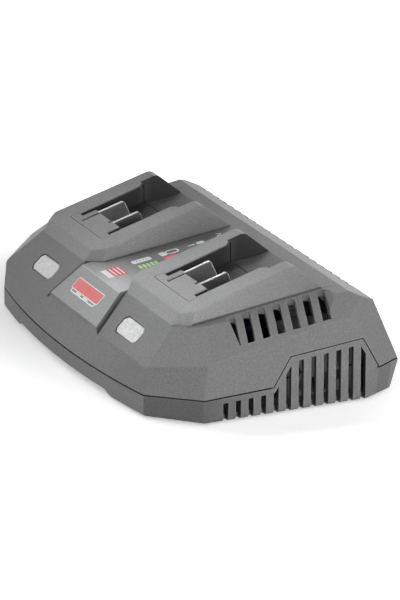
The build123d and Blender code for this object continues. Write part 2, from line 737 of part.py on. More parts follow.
def pocket_liner(bay_x, middle_form):
    """Walls and floor of the rear part of a bay."""
    half = RAIL_HALF_WIDTH + POCKET_LINER
    low = bay_floor_z(BLOCK_END_Y) - POCKET_LINER
    liner = block((-half, half), (BLOCK_END_Y + SEAM_GAP, REAR_Y), (low, RIDGE_Z))
    return (Pos(bay_x, 0, 0) * liner) & middle_form


def case_screw_places():
    """Where the screws that join the two shells stand, in X and Y."""
    front = (FRONT_CORNER_X - 4.5, 16.0)
    rear = (HALF_WIDTH - 19.5, REAR_BOSS_Y)
    corners = [(side * x, y) for x, y in (front, rear) for side in (-1, 1)]
    return corners + [(0.0, CENTRE_BOSS_FRONT_Y), (0.0, REAR_BOSS_Y)]


def foot_places():
    """Where the rubber feet are, in X and Y."""
    front = (HALF_WIDTH - 21, 36.0)
    rear = (HALF_WIDTH - 37, SIDE_END_Y - 2)
    return [(side * x, y) for x, y in (front, rear) for side in (-1, 1)]


def board_screw_places():
    """Where the main board is screwed down, in X and Y."""
    x_places = (BOARD_LEFT_X + BOARD_HOLE_INSET, BOARD_RIGHT_X - BOARD_HOLE_INSET)
    y_places = (BOARD_FRONT_Y + BOARD_HOLE_INSET, BOARD_REAR_Y - BOARD_HOLE_INSET)
    return [(x, y) for x in x_places for y in y_places]


def relief(grow):
    """Raised middle of the base's front edge, grown by a wall thickness."""
    low = FOOT_GAP - 1
    high = FOOT_GAP + RELIEF_RISE + grow
    inner = RELIEF_HALF_WIDTH + grow
    outer = inner + RELIEF_RAMP
    points = [
        (-outer, low),
        (outer, low),
        (outer, FOOT_GAP),
        (inner, high),
        (-inner, high),
        (-outer, FOOT_GAP),
    ]
    section = make_face(Polyline(*points, points[0]).edges())
    depth = RELIEF_DEPTH + grow + 2 * FRONT_BOW
    return Pos(0, RELIEF_DEPTH + grow, 0) * extrude(Plane.XZ * section, depth)


def seam_lip(outer_inset, inner_inset, low, high):
    """Ring inside the walls between two heights above the seam."""
    ring = casing_form(outer_inset, FOOT_GAP) - casing_form(inner_inset, 0)
    return (ring & below_seam(high)) - below_seam(low)


def fan_frame_x():
    """Inner and outer ends of the fan along X."""
    outer = HALF_WIDTH - WALL - FAN_WALL_GAP
    return (outer - FAN_THICKNESS, outer)


def fan_centre_z():
    """Height of the fan's axis."""
    return FLOOR_Z + FAN_GUIDE_CLEARANCE + FAN_SIZE / 2


def fan_guides():
    """Upright channels that hold the two sides of the fan."""
    inner, outer = fan_frame_x()
    gap = FAN_GUIDE_CLEARANCE
    thick = FAN_GUIDE_THICKNESS
    half = FAN_SIZE / 2 + gap
    height = (FLOOR_Z - 0.5, FLOOR_Z + 0.65 * FAN_SIZE)
    guides = None
    for side in (-1, 1):
        near = FAN_Y + side * half
        far = near + side * thick
        web = block((inner - gap - thick, outer + gap + thick), sorted((near, far)), height)
        lip_end = FAN_Y + side * (half - 3)
        inner_lip = block((inner - gap - thick, inner - gap), sorted((lip_end, far)), height)
        outer_lip = block((outer + gap, outer + gap + thick), sorted((lip_end, far)), height)
        guide = web + inner_lip + outer_lip
        guides = guide if guides is None else guides + guide
    return guides


def stadium(half_span, radius, y_limits):
    """Solid with a rounded slot section in X and Z, between two depths."""
    section = SlotCenterToCenter(2 * half_span, 2 * radius)
    low, high = y_limits
    return Pos(INLET_X, high, INLET_Z) * extrude(Plane.XZ * section, high - low)


def lower_shell(outer_form):
    """Tray with the feet seats, screw bosses, board posts, side vents and the inlet hole."""
    cavity = casing_form(WALL, FLOOR_Z) - relief(WALL)
    shell = (outer_form & lower_region()) - relief(0) - cavity
    shell += seam_lip(WALL - LIP_THICKNESS, WALL, -2.0, LIP_HEIGHT)
    for x, y in case_screw_places():
        shell += drum(CASE_BOSS_RADIUS, x, y, FOOT_GAP + 0.5, LOWER_BOSS_TOP)
    for x, y in board_screw_places():
        shell += drum(BOARD_POST_RADIUS, x, y, FLOOR_Z - 0.5, BOARD_HEIGHT)
    shell += fan_guides()
    for x, y in case_screw_places():
        shell -= drum(CASE_SCREW_RADIUS + 0.25, x, y, 0, LOWER_BOSS_TOP + 1)
        shell -= drum(CASE_SCREW_HEAD_RADIUS + 0.2, x, y, 0, SCREW_SEAT_Z)
    for x, y in board_screw_places():
        shell -= drum(BOARD_SCREW_RADIUS + THREAD_CLEARANCE, x, y, FLOOR_Z, BOARD_HEIGHT + 1)
    for x, y in foot_places():
        shell -= drum(FOOT_RADIUS + 0.1, x, y, 0, FOOT_GAP + FOOT_SEAT_DEPTH)
    for slot in low_vents():
        shell -= slot
    depths = (REAR_Y - WALL - 7, REAR_Y + 1)
    return shell - stadium(INLET_HALF_SPAN, INLET_RADIUS + INLET_WALL + 0.1, depths)


def lens_window(bay_x):
    """Opening for one indicator lens, in the front slope."""
    opening = extrude(lens_outline(LENS_GAP), 12)
    return slope_frame(bay_x) * Pos(0, LENS_START + LENS_HEIGHT / 2, -8) * opening


def lens_outline(grow):
    """Rectangle with cut corners, in the slope's frame."""
    half_x = LENS_HALF_WIDTH + grow
    half_y = LENS_HEIGHT / 2 + grow
    face = Rectangle(2 * half_x, 2 * half_y)
    return chamfer(face.vertices(), LENS_CORNER)


def indicator_posts(bay_x):
    """Pegs that carry the indicator board behind one window."""
    frame = slope_frame(bay_x)
    middle = LENS_START + LENS_HEIGHT / 2
    posts = None
    for side in (-1, 1):
        post = drum(1.7, side * POST_X, middle, LED_BOARD_N, -WALL / 2)
        pin = drum(0.9, side * POST_X, middle, LED_BOARD_N - LED_BOARD_THICKNESS - 1, LED_BOARD_N)
        posts = post + pin if posts is None else posts + post + pin
    return frame * posts


def block_bosses(bay_x):
    """Pillars under the top face that the terminal block is screwed to."""
    bosses = []
    for side in (-1, 1):
        for place in BLOCK_BOSS_PLACES:
            boss = drum(BLOCK_BOSS_RADIUS, side * BLOCK_BOSS_X, place, BLOCK_BOSS_N, -WALL / 2)
            bosses.append(bay_frame(bay_x) * boss)
    return bosses


def block_boss_holes(bay_x):
    """Screw holes in the pillars under the top face."""
    holes = []
    radius = BOARD_SCREW_RADIUS + THREAD_CLEARANCE
    for side in (-1, 1):
        for place in BLOCK_BOSS_PLACES:
            hole = drum(radius, side * BLOCK_BOSS_X, place, BLOCK_BOSS_N - 1, -WALL)
            holes.append(bay_frame(bay_x) * hole)
    return holes


def upper_shell(outer_form, inner_form, middle_form):
    """Cover with the two plateaus, their pockets, the windows, vents and pillars."""
    cover = outer_form + front_panel()
    shell = cover - inner_form
    for bay_x in (-BAY_X, BAY_X):
        shell += pocket_liner(bay_x, middle_form)
        for boss in block_bosses(bay_x):
            shell += boss
        shell += indicator_posts(bay_x)
    for backing in recess_backings(middle_form):
        shell += backing
    for x, y in case_screw_places():
        shell += drum(CASE_BOSS_RADIUS, x, y, LOWER_BOSS_TOP + 0.3, RIDGE_Z) & middle_form
    shell -= upper_cut_region()
    shell -= seam_lip(WALL - LIP_THICKNESS - 0.15, WALL + 0.6, -1, LIP_HEIGHT + 0.3)
    for bay_x in (-BAY_X, BAY_X):
        for cutter in bay_cutters(bay_x) + block_boss_holes(bay_x):
            shell -= cutter
        shell -= lens_window(bay_x)
    for x, y in case_screw_places():
        top = SCREW_SEAT_Z + CASE_SCREW_LENGTH + 1
        shell -= drum(CASE_SCREW_RADIUS + THREAD_CLEARANCE, x, y, LOWER_BOSS_TOP, top)
    for cutter in side_recesses() + high_vents() + rear_vents() + panel_grooves():
        shell -= cutter
    return shell


def terminal_block(bay_x):
    """Moulded block that holds one pair of blades and forms the bay's front and floor."""
    end_s = (BLOCK_END_Y - PLATEAU_FRONT_Y) / cos(radians(PLATEAU_SLOPE)) + 8
    outer = RAIL_HALF_WIDTH + BLOCK_WALL
    low = -(BAY_DEPTH + BLOCK_FLOOR)
    rim = -(WALL + BLOCK_CLEARANCE)
    nose_end = BLOCK_START + BLOCK_NOSE_LENGTH
    body = block((-outer, outer), (BLOCK_START - 2.5, end_s), (low, rim))
    nose = (-BLOCK_NOSE_HALF_WIDTH, BLOCK_NOSE_HALF_WIDTH)
    body += block(nose, (BLOCK_START, CHANNEL_START - BLOCK_CLEARANCE), (low, 0))
    body += block((-PLATE_HALF_WIDTH, PLATE_HALF_WIDTH), (BLOCK_START, nose_end), (low, 0))
    body -= block((-RAIL_HALF_WIDTH, RAIL_HALF_WIDTH), (nose_end, end_s + 1), (-BAY_DEPTH, 5))
    body -= block((-RAIL_HALF_WIDTH, FINGER_X[0]), (CHANNEL_START, nose_end), (-BAY_DEPTH, 5))
    body -= block((PLATE_RIGHT_X, RAIL_HALF_WIDTH), (CHANNEL_START, nose_end), (-BAY_DEPTH, 5))
    body -= block((FINGER_X[1], SLOT_RIGHT_X), (BLOCK_START + 2.5, nose_end), (-8, 5))
    body -= block(NOTCH_X, (nose_end - 2, nose_end), (-4, 5))
    finger_x = (FINGER_X[0] + FINGER_X[1]) / 2
    finger_radius = (FINGER_X[1] - FINGER_X[0]) / 2
    body += drum(finger_radius, finger_x, nose_end - finger_radius + 0.6, -2.5, 0)
    body -= block((-15, 15), (BLOCK_START + 2, nose_end - 2), (low, -10))
    for side in (-1, 1):
        for place in BLOCK_BOSS_PLACES:
            ear_x = sorted((side * (outer - 0.5), side * (BLOCK_BOSS_X + BLOCK_BOSS_RADIUS)))
            ear_z = (BLOCK_BOSS_N - EAR_THICKNESS - 0.1, BLOCK_BOSS_N - 0.1)
            body += block(ear_x, (place - 3, place + 3), ear_z)
            body -= drum(BOARD_SCREW_RADIUS + 0.2, side * BLOCK_BOSS_X, place, low, BLOCK_BOSS_N + 1)
    for offset in BLADE_OFFSETS:
        half = BLADE_THICKNESS / 2 + 0.05
        tail = BLADE_START + BLADE_TAIL_START
        slit = (tail - 0.05, tail + BLADE_TAIL_LENGTH + 0.05)
        body -= block((offset - half, offset + half), slit, (low - 1, -BAY_DEPTH + 1))
    body = bay_frame(bay_x) * body
    return body - block((-BIG, BIG), (BLOCK_END_Y, BIG), (0, BIG))


def blade(bay_x, offset):
    """Sheet-metal contact blade with a rounded rear corner and a tail through the block."""
    tail_start = BLADE_START + BLADE_TAIL_START
    tail_end = tail_start + BLADE_TAIL_LENGTH
    tail_low = -(BAY_DEPTH + BLOCK_FLOOR + BLADE_TAIL_DEPTH)
    end = BLADE_START + BLADE_LENGTH
    outline = Polyline(
        (BLADE_START, -BLADE_TOP_DEPTH),
        (BLADE_START, -BAY_DEPTH),
        (tail_start, -BAY_DEPTH),
        (tail_start, tail_low),
        (tail_end, tail_low),
        (tail_end, -BAY_DEPTH),
        (end + 1.5, -BAY_DEPTH),
        (end, -BLADE_TOP_DEPTH),
        (BLADE_START, -BLADE_TOP_DEPTH),
    )
    face = make_face(outline.edges())
    rear_corner = face.vertices().sort_by_distance((end, -BLADE_TOP_DEPTH, 0))[0]
    face = fillet(rear_corner, 2.0)
    sheet = extrude(Plane.YZ * face, BLADE_THICKNESS)
    return bay_frame(bay_x) * Pos(offset - BLADE_THICKNESS / 2, 0, 0) * sheet


def tube(points, radius, bend):
    """Round lead along straight runs joined by arcs."""
    path = FilletPolyline(*points, radius=bend)
    start = Plane(origin=path @ 0, z_dir=path % 0)
    return sweep(start * Circle(radius), path=path)


def blade_foot(bay_x, offset):
    """Middle of a blade's tail end."""
    s = BLADE_START + BLADE_TAIL_START + BLADE_TAIL_LENGTH / 2
    place = bay_frame(bay_x) * Pos(offset, s, -(BAY_DEPTH + BLOCK_FLOOR + BLADE_TAIL_DEPTH))
    return place.position


def contact_leads(bay_x):
    """Leads from the two blades down to their headers."""
    leads = []
    for offset in BLADE_OFFSETS:
        foot = blade_foot(bay_x, offset)
        top = BOARD_TOP + HEADER_SIZE[2]
        drop = foot.Z - top
        points = [
            (foot.X, foot.Y, foot.Z - LEAD_RADIUS * tan(radians(PLATEAU_SLOPE)) - SEAT_GAP),
            (foot.X, foot.Y, foot.Z - 0.2 * drop),
            (foot.X + 3, foot.Y + 4, foot.Z - 0.5 * drop),
            (foot.X, foot.Y, foot.Z - 0.8 * drop),
            (foot.X, foot.Y, top),
        ]
        leads.append(tube(points, LEAD_RADIUS, 3.0))
    return Compound(leads)


def contact_headers():
    """Board sockets under the four contact leads."""
    headers = []
    for bay_x in (-BAY_X, BAY_X):
        for offset in BLADE_OFFSETS:
            foot = blade_foot(bay_x, offset)
            body = Box(*HEADER_SIZE)
            body = chamfer(body.edges().filter_by(Axis.Z), 0.8)
            headers.append(Pos(foot.X, foot.Y, BOARD_TOP + HEADER_SIZE[2] / 2) * body)
    return Compound(headers)


def lens(bay_x):
    """Diffusing window with a flange behind the wall."""
    middle = LENS_START + LENS_HEIGHT / 2
    plate = extrude(lens_outline(0), WALL + 0.1 - 0.2)
    plate = fillet(plate.edges().group_by(Axis.Z)[-1], 0.5)
    plate = Pos(0, 0, -(WALL + 0.1)) * plate
    flange = extrude(lens_outline(LENS_FLANGE), LENS_FLANGE_THICKNESS)
    flange = Pos(0, 0, -(WALL + 0.1 + LENS_FLANGE_THICKNESS)) * flange
    return slope_frame(bay_x) * Pos(0, middle, 0) * (plate + flange)


def indicator_board(bay_x):
    """Small board behind one window."""
    middle = LENS_START + LENS_HEIGHT / 2
    half = POST_X + 2.6
    depths = (LED_BOARD_N - LED_BOARD_THICKNESS, LED_BOARD_N)
    board = block((-half, half), (middle - 4.5, middle + 4.5), depths)
    for side in (-1, 1):
        board -= drum(0.95, side * POST_X, middle, LED_BOARD_N - 5, LED_BOARD_N + 1)
    return slope_frame(bay_x) * board


def indicator_leds(bay_x):
    """Two light-emitting diodes on an indicator board."""
    middle = LENS_START + LENS_HEIGHT / 2
    leds = []
    for side in (-1, 1):
        x = side * LED_SPACING / 2
        body = drum(1.9, x, middle, LED_BOARD_N, LED_BOARD_N + 0.8)
        body += drum(1.5, x, middle, LED_BOARD_N + 0.8, LED_BOARD_N + 2.6)
        body += Pos(x, middle, LED_BOARD_N + 2.6) * Sphere(1.5)
        leds.append(slope_frame(bay_x) * body)
    return Compound(leds)


def main_board():
    """Printed circuit board on its four posts."""
    board = block((BOARD_LEFT_X, BOARD_RIGHT_X), (BOARD_FRONT_Y, BOARD_REAR_Y), (BOARD_HEIGHT, BOARD_TOP))
    board = fillet(board.edges().filter_by(Axis.Z), 3.0)
    for x, y in board_screw_places():
        board -= drum(BOARD_SCREW_RADIUS + 0.25, x, y, BOARD_HEIGHT - 1, BOARD_TOP + 1)
    return board


def pan_screw(radius, head_radius, head_height, length):
    """Screw with its head above the origin and its shank below, with a cross recess."""
    head = drum(head_radius, 0, 0, 0, head_height)
    head = fillet(head.edges().group_by(Axis.Z)[-1], 0.45 * head_height)
    screw = head + drum(radius, 0, 0, -length, 0)
    arm = 1.1 * head_radius
    recess = Box(arm, 0.8, head_height) + Box(0.8, arm, head_height)
    return screw - Pos(0, 0, head_height) * recess


def case_screws():
    """Screws driven upwards through the lower shell into the upper one."""
    head = (CASE_SCREW_HEAD_RADIUS, CASE_SCREW_HEAD_HEIGHT)
    screw = pan_screw(CASE_SCREW_RADIUS, *head, CASE_SCREW_LENGTH)
    return Compound([Pos(x, y, SCREW_SEAT_Z) * Rot(X=180) * screw for x, y in case_screw_places()])


def board_screws():
    """Screws that hold the main board down."""
    head = (BOARD_SCREW_HEAD_RADIUS, BOARD_SCREW_HEAD_HEIGHT)
    screw = pan_screw(BOARD_SCREW_RADIUS, *head, BOARD_SCREW_LENGTH)
    return Compound([Pos(x, y, BOARD_TOP) * screw for x, y in board_screw_places()])


def block_screws():
    """Screws that hold the terminal blocks up against the cover."""
    head = (BOARD_SCREW_HEAD_RADIUS, BOARD_SCREW_HEAD_HEIGHT)
    screw = pan_screw(BOARD_SCREW_RADIUS, *head, BOARD_SCREW_LENGTH)
    screws = []
    for bay_x in (-BAY_X, BAY_X):
        for side in (-1, 1):
            for place in BLOCK_BOSS_PLACES:
                seat = Pos(side * BLOCK_BOSS_X, place, BLOCK_BOSS_N - EAR_THICKNESS - 0.1)
                screws.append(bay_frame(bay_x) * seat * Rot(X=180) * screw)
    return Compound(screws)


def rubber_feet():
    """Four feet seated in the underside."""
    feet = []
    for x, y in foot_places():
        foot = drum(FOOT_RADIUS, x, y, 0, FOOT_GAP + FOOT_SEAT_DEPTH)
        feet.append(fillet(foot.edges().group_by(Axis.Z)[0], 0.4))
    return Compound(feet)


def transformer_core():
    """Ferrite core with a centre leg and two windows."""
    width, depth, height = CORE_SIZE
    core = Box(width, depth, height)
    window = width / 2 - CORE_YOKE - CORE_LEG / 2
    for side in (-1, 1):
        opening = Box(window, depth + 1, height - 2 * CORE_YOKE)
        core -= Pos(side * (CORE_LEG / 2 + window / 2), 0, 0) * opening
    return Pos(*TRANSFORMER_PLACE, BOARD_TOP + SEAT_GAP + height / 2) * core


def transformer_winding():
    """Taped winding around the core's centre leg."""
    height = CORE_SIZE[2] - 2 * CORE_YOKE - 0.4
    width = CORE_SIZE[0] - 2 * CORE_YOKE - 0.4
    winding = Box(width, WINDING_DEPTH, height)
    winding = fillet(winding.edges().filter_by(Axis.Z), 5.0)
    winding -= Box(CORE_LEG + 0.1, CORE_SIZE[1] + 0.1, height + 1)
    return Pos(*TRANSFORMER_PLACE, BOARD_TOP + SEAT_GAP + CORE_SIZE[2] / 2) * winding


def can(radius, height, x, y):
    """Electrolytic capacitor standing on the board."""
    body = drum(radius, x, y, BOARD_TOP + SEAT_GAP, BOARD_TOP + SEAT_GAP + height)
    body = fillet(body.edges().group_by(Axis.Z)[-1], 0.8)
    groove_z = BOARD_TOP + SEAT_GAP + 0.12 * height
    ring = drum(radius + 1, x, y, groove_z - 0.6, groove_z + 0.6)
    return body - (ring - drum(radius - 0.6, x, y, groove_z - 1, groove_z + 1))


def bulk_capacitors():
    """Mains-side storage capacitors."""
    size = (BULK_CAPACITOR_RADIUS, BULK_CAPACITOR_HEIGHT)
    return Compound([can(*size, x, BOARD_REAR_Y - 18) for x in BULK_CAPACITOR_X])


def output_capacitors():
    """Low-voltage storage capacitors."""
    size = (OUTPUT_CAPACITOR_RADIUS, OUTPUT_CAPACITOR_HEIGHT)
    return Compound([can(*size, x, TRANSFORMER_PLACE[1]) for x in OUTPUT_CAPACITOR_X])


def mains_choke():
    """Ring choke standing flat on the board."""
    choke = Torus(CHOKE_RADIUS, CHOKE_WIRE_RADIUS)
    return Pos(*CHOKE_PLACE, BOARD_TOP + SEAT_GAP + CHOKE_WIRE_RADIUS) * choke


def heat_sink(x, y):
    """Finned aluminium bar standing on the board, fins to the rear."""
    base = block((-SINK_LENGTH / 2, SINK_LENGTH / 2), (0, SINK_BASE), (0, SINK_HEIGHT))
    step = (SINK_LENGTH - SINK_FIN_THICKNESS) / (SINK_FIN_COUNT - 1)
    for index in range(SINK_FIN_COUNT):
        fin_x = -SINK_LENGTH / 2 + index * step
        reach = (SINK_BASE - 0.5, SINK_BASE + SINK_FIN_LENGTH)
        base += block((fin_x, fin_x + SINK_FIN_THICKNESS), reach, (0, SINK_HEIGHT))
    return Pos(x, y, BOARD_TOP + SEAT_GAP) * base


def power_transistors():
    """Flat-backed transistors against the two heat sinks."""
    parts = []
    for sink_x, sink_y in (PRIMARY_SINK, OUTPUT_SINK):
        for side in (-1, 1):
            x = sink_x + side * 14
            tab = block((x - 5, x + 5), (sink_y - 1.3, sink_y - SEAT_GAP), (BOARD_TOP + 4, BOARD_TOP + 20))
            body = block((x - 5, x + 5), (sink_y - 4.5, sink_y - 1.2), (BOARD_TOP + 4, BOARD_TOP + 13))
            legs = None
            for leg in (-2.54, 0, 2.54):
                leg_z = (BOARD_TOP + SEAT_GAP, BOARD_TOP + 5)
                pin = block((x + leg - 0.4, x + leg + 0.4), (sink_y - 3.2, sink_y - 2.6), leg_z)
                legs = pin if legs is None else legs + pin
            parts.append(tab + body + legs)
    return Compound(parts)


def fuse():
    """Glass cartridge fuse lying in its clips."""
    x, y = FUSE_PLACE
    return Pos(x, y, BOARD_TOP + 5.5) * Rot(Y=90) * Cylinder(FUSE_RADIUS, FUSE_LENGTH)


def fuse_clips():
    """Two spring clips under the ends of the fuse."""
    x, y = FUSE_PLACE
    clips = []
    for side in (-1, 1):
        clip_x = x + side * (FUSE_LENGTH / 2 - 3)
        clip = Pos(clip_x, y, BOARD_TOP + 4.2) * Box(4.5, 2 * FUSE_RADIUS + 1.4, 8.2)
        bore = Pos(clip_x, y, BOARD_TOP + 5.5) * Rot(Y=90) * Cylinder(FUSE_RADIUS + SEAT_GAP, 6)
        mouth = Pos(clip_x, y, BOARD_TOP + 8.5) * Box(6, 2 * FUSE_RADIUS - 1.2, 6)
        clips.append(clip - bore - mouth)
    return Compound(clips)


def mains_inlet():
    """Two-pole appliance inlet in the rear wall of the lower shell."""
    outer = INLET_RADIUS + INLET_WALL
    rear = INLET_FACE_Y - INLET_BODY_DEPTH
    body = stadium(INLET_HALF_SPAN, outer, (rear, INLET_FACE_Y))
    half = INLET_HALF_SPAN + outer + 2.5
    flange_z = (INLET_LOW_Z - 1.5, INLET_Z + outer + 1.5)
    flange_y = (INLET_FLANGE_Y - 2, INLET_FLANGE_Y)
    body += block((INLET_X - half, INLET_X + half), flange_y, flange_z)
    body -= stadium(INLET_HALF_SPAN, INLET_RADIUS, (INLET_FACE_Y - INLET_DEPTH, REAR_Y))
    for side in (-1, 1):
        body -= inlet_rod(side, INLET_PIN_RADIUS + 0.02, rear - 1, REAR_Y)
    return body


def inlet_rod(side, radius, low, high):
    """Round rod at one pole of the inlet, between two depths."""
    place = Pos(INLET_X + side * INLET_PIN_SPACING / 2, (low + high) / 2, INLET_Z)
    return place * Rot(X=90) * Cylinder(radius, high - low)


def inlet_pins():
    """Contact pins of the mains inlet."""
    rear = INLET_FACE_Y - INLET_BODY_DEPTH - 3
    pins = []
    for side in (-1, 1):
        pin = inlet_rod(side, INLET_PIN_RADIUS, rear, INLET_FACE_Y - 1.3)
        pins.append(fillet(pin.edges().group_by(Axis.Y)[-1], 0.6))
    return Compound(pins)


def mains_leads():
    """Leads from the inlet pins to the board."""
    leads = []
    rear = INLET_FACE_Y - INLET_BODY_DEPTH - 3
    landing = BOARD_REAR_Y - 2
    for side in (-1, 1):
        x = INLET_X + side * INLET_PIN_SPACING / 2
        points = [
            (x, rear - SEAT_GAP, INLET_Z),
            (x, rear - 4, INLET_Z),
            (x, rear - 6.5, INLET_Z + 9),
            (x, landing, INLET_Z + 9),
            (x, landing, BOARD_TOP + SEAT_GAP),
        ]
        leads.append(tube(points, LEAD_RADIUS, 2.4))
    return Compound(leads)


def lying_drum(radius, low, high):
    """Cylinder on the fan's axis between two places along X."""
    return Pos((low + high) / 2, FAN_Y, fan_centre_z()) * Rot(Y=90) * Cylinder(radius, high - low)


def fan_frame():
    """Square frame with its bore, corner holes, spokes and motor plate."""
    inner, outer = fan_frame_x()
    half = FAN_SIZE / 2
    middle_z = fan_centre_z()
    frame = block((inner, outer), (FAN_Y - half, FAN_Y + half), (middle_z - half, middle_z + half))
    frame = fillet(frame.edges().filter_by(Axis.X), 3.0)
    frame -= lying_drum(FAN_BORE_RADIUS, inner - 1, outer + 1)
    for y_side in (-1, 1):
        for z_side in (-1, 1):
            corner = Pos(0, y_side * 0.4 * FAN_SIZE, z_side * 0.4 * FAN_SIZE)
            frame -= corner * lying_drum(1.6, inner - 1, outer + 1)
    plate = lying_drum(FAN_HUB_RADIUS, inner, inner + FAN_PLATE)
    spoke = Box(FAN_PLATE, 3.0, FAN_BORE_RADIUS - FAN_HUB_RADIUS + 2)
    spoke = Pos(0, 0, (FAN_BORE_RADIUS + FAN_HUB_RADIUS) / 2) * spoke
    for angle in (90, 210, 330):
        plate += Pos(inner + FAN_PLATE / 2, FAN_Y, middle_z) * Rot(X=angle) * spoke
    plate -= lying_drum(BEARING_RADIUS + 0.02, inner - 1, inner + FAN_PLATE + 1)
    return frame + plate


def fan_bearing():
    """Sleeve bearing in the motor plate."""
    inner = fan_frame_x()[0]
    sleeve = lying_drum(BEARING_RADIUS, inner, inner + BEARING_LENGTH)
    bore = FAN_SHAFT_RADIUS + FAN_RUNNING_CLEARANCE
    return sleeve - lying_drum(bore, inner - 1, inner + BEARING_LENGTH + 1)


def fan_stator():
    """Motor coils around the bearing sleeve."""
    inner = fan_frame_x()[0]
    start = inner + FAN_PLATE + 0.4
    end = inner + BEARING_LENGTH - 1.2
    stator = lying_drum(FAN_HUB_RADIUS - CUP_WALL - 1.6, start, end)
    return stator - lying_drum(BEARING_RADIUS + 0.02, start - 1, end + 1)


def fan_magnet():
    """Ring magnet inside the rotor's cup."""
    inner = fan_frame_x()[0]
    start = inner + FAN_PLATE + 0.9
    end = inner + BEARING_LENGTH - 0.4
    outer = FAN_HUB_RADIUS - CUP_WALL
    return lying_drum(outer, start, end) - lying_drum(outer - 1.1, start - 1, end + 1)


def fan_rotor():
    """Cup with its shaft and swept blades."""
    inner, outer = fan_frame_x()
    start = inner + FAN_PLATE + 0.6
    end = outer - 0.6
    cup = lying_drum(FAN_HUB_RADIUS, start, end)
    cup -= lying_drum(FAN_HUB_RADIUS - CUP_WALL, start - 1, inner + BEARING_LENGTH + 0.6)
    cup += lying_drum(FAN_SHAFT_RADIUS, inner + 0.4, end)
    tip = FAN_BORE_RADIUS - FAN_BLADE_GAP
    length = tip - FAN_HUB_RADIUS + 1.5
    chord = (end - start) / cos(radians(FAN_BLADE_ANGLE))
    for index in range(FAN_BLADE_COUNT):
        vane = Rot(Z=FAN_BLADE_ANGLE) * Box(2 * chord, FAN_BLADE_THICKNESS, length)
        vane = Pos(0, 0, FAN_HUB_RADIUS - 0.4 + length / 2) * vane
        vane = Pos((start + end) / 2, FAN_Y, fan_centre_z()) * Rot(X=index * 360 / FAN_BLADE_COUNT) * vane
        cup += vane & lying_drum(tip, start + 0.2, end - 0.2)
    return cup


def write(name, shape):
    """Move a piece to the middle of the depth and write it."""
    export_step(Pos(0, -MID_Y, 0) * shape, f"parts/{name}.step")


def main():
    """Build every piece and write it under its own name."""
    os.makedirs("parts", exist_ok=True)
    casing = rounded_casing_form()
    outer_form = casing
    inner_form = casing_form(WALL, 0)
    middle_form = casing_form(WALL / 2, 0)
    for bay_x in (-BAY_X, BAY_X):
        outer_form += plateau(bay_x)
        inner_form += plateau(bay_x, WALL)
        middle_form += plateau(bay_x, WALL / 2)
    write("lower_shell", lower_shell(casing))
    write("upper_shell", upper_shell(outer_form, inner_form, middle_form))
    for bay_x, side in ((-BAY_X, "left"), (BAY_X, "right")):
        write(f"terminal_block_{side}", terminal_block(bay_x))
        write(f"positive_blade_{side}", blade(bay_x, BLADE_OFFSETS[0]))
        write(f"negative_blade_{side}", blade(bay_x, BLADE_OFFSETS[1]))
        write(f"contact_leads_{side}", contact_leads(bay_x))
        write(f"indicator_lens_{side}", lens(bay_x))
        write(f"indicator_board_{side}", indicator_board(bay_x))
        write(f"indicator_leds_{side}", indicator_leds(bay_x))
    write("contact_headers", contact_headers())
    write("main_board", main_board())
    write("board_screws", board_screws())
    write("block_screws", block_screws())
    write("case_screws", case_screws())
    write("rubber_feet", rubber_feet())
    write("transformer_core", transformer_core())
    write("transformer_winding", transformer_winding())
    write("bulk_capacitors", bulk_capacitors())
    write("output_capacitors", output_capacitors())
    write("mains_choke", mains_choke())
    write("primary_heat_sink", heat_sink(*PRIMARY_SINK))
    write("output_heat_sink", heat_sink(*OUTPUT_SINK))
    write("power_transistors", power_transistors())
    write("fuse", fuse())
    write("fuse_clips", fuse_clips())
    write("mains_inlet", mains_inlet())
    write("inlet_pins", inlet_pins())
    write("mains_leads", mains_leads())
    write("fan_frame", fan_frame())
    write("fan_bearing", fan_bearing())
    write("fan_stator", fan_stator())
    write("fan_magnet", fan_magnet())
    write("fan_rotor", fan_rotor())


main()
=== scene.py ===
import logging
import math
from dataclasses import dataclass, field
from enum import Enum
from functools import cached_property
from typing import Any, Iterable, Sequence

import bmesh
import bpy
from mathutils import Matrix, Vector


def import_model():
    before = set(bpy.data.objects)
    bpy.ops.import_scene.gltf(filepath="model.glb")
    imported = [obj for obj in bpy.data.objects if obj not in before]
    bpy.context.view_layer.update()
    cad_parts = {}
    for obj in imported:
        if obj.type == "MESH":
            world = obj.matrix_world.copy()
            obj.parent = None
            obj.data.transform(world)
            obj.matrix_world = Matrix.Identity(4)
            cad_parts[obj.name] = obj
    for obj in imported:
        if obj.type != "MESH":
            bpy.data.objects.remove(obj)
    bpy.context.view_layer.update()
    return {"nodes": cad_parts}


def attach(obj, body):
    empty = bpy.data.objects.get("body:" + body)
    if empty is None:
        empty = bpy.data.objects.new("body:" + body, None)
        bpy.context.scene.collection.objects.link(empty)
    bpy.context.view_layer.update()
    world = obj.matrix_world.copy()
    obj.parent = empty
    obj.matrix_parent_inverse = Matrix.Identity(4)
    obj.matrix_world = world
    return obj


log = logging.getLogger("charger")

MM = 0.001

# Places on the casing in mm and slopes in degrees. Depths run back from the front corners,
# and the frame's middle lies at MID_DEPTH. The joint between the shells and the panel's
# narrowing are given as mm for each mm of depth or height.
MID_DEPTH = 68.65
TOP_FRONT_Z = 44.34
TOP_SLOPE = 7.9
FRONT_RIDGE = (1.3, 28.7)
FRONT_SLOPE = 43.1
PANEL_RISE = 2.0
PANEL_HALF_WIDTH = 35.31
PANEL_TAPER = 0.3826
BAY_X = 60.0
BAY_FRONT = (25.2, 54.1)
BAY_SLOPE = 16.7
SEAM_FRONT_Z = 13.1
SEAM_RISE = 0.042
CHEEK_Y = (65.3, 129.0)

# Finishes from this level of metallic on are metals, which keep the shader's own IOR.
LEAST_METAL = 0.5
# Levels between which nearly all of a noise texture lies.
NOISE_SPAN = (0.3, 0.7)
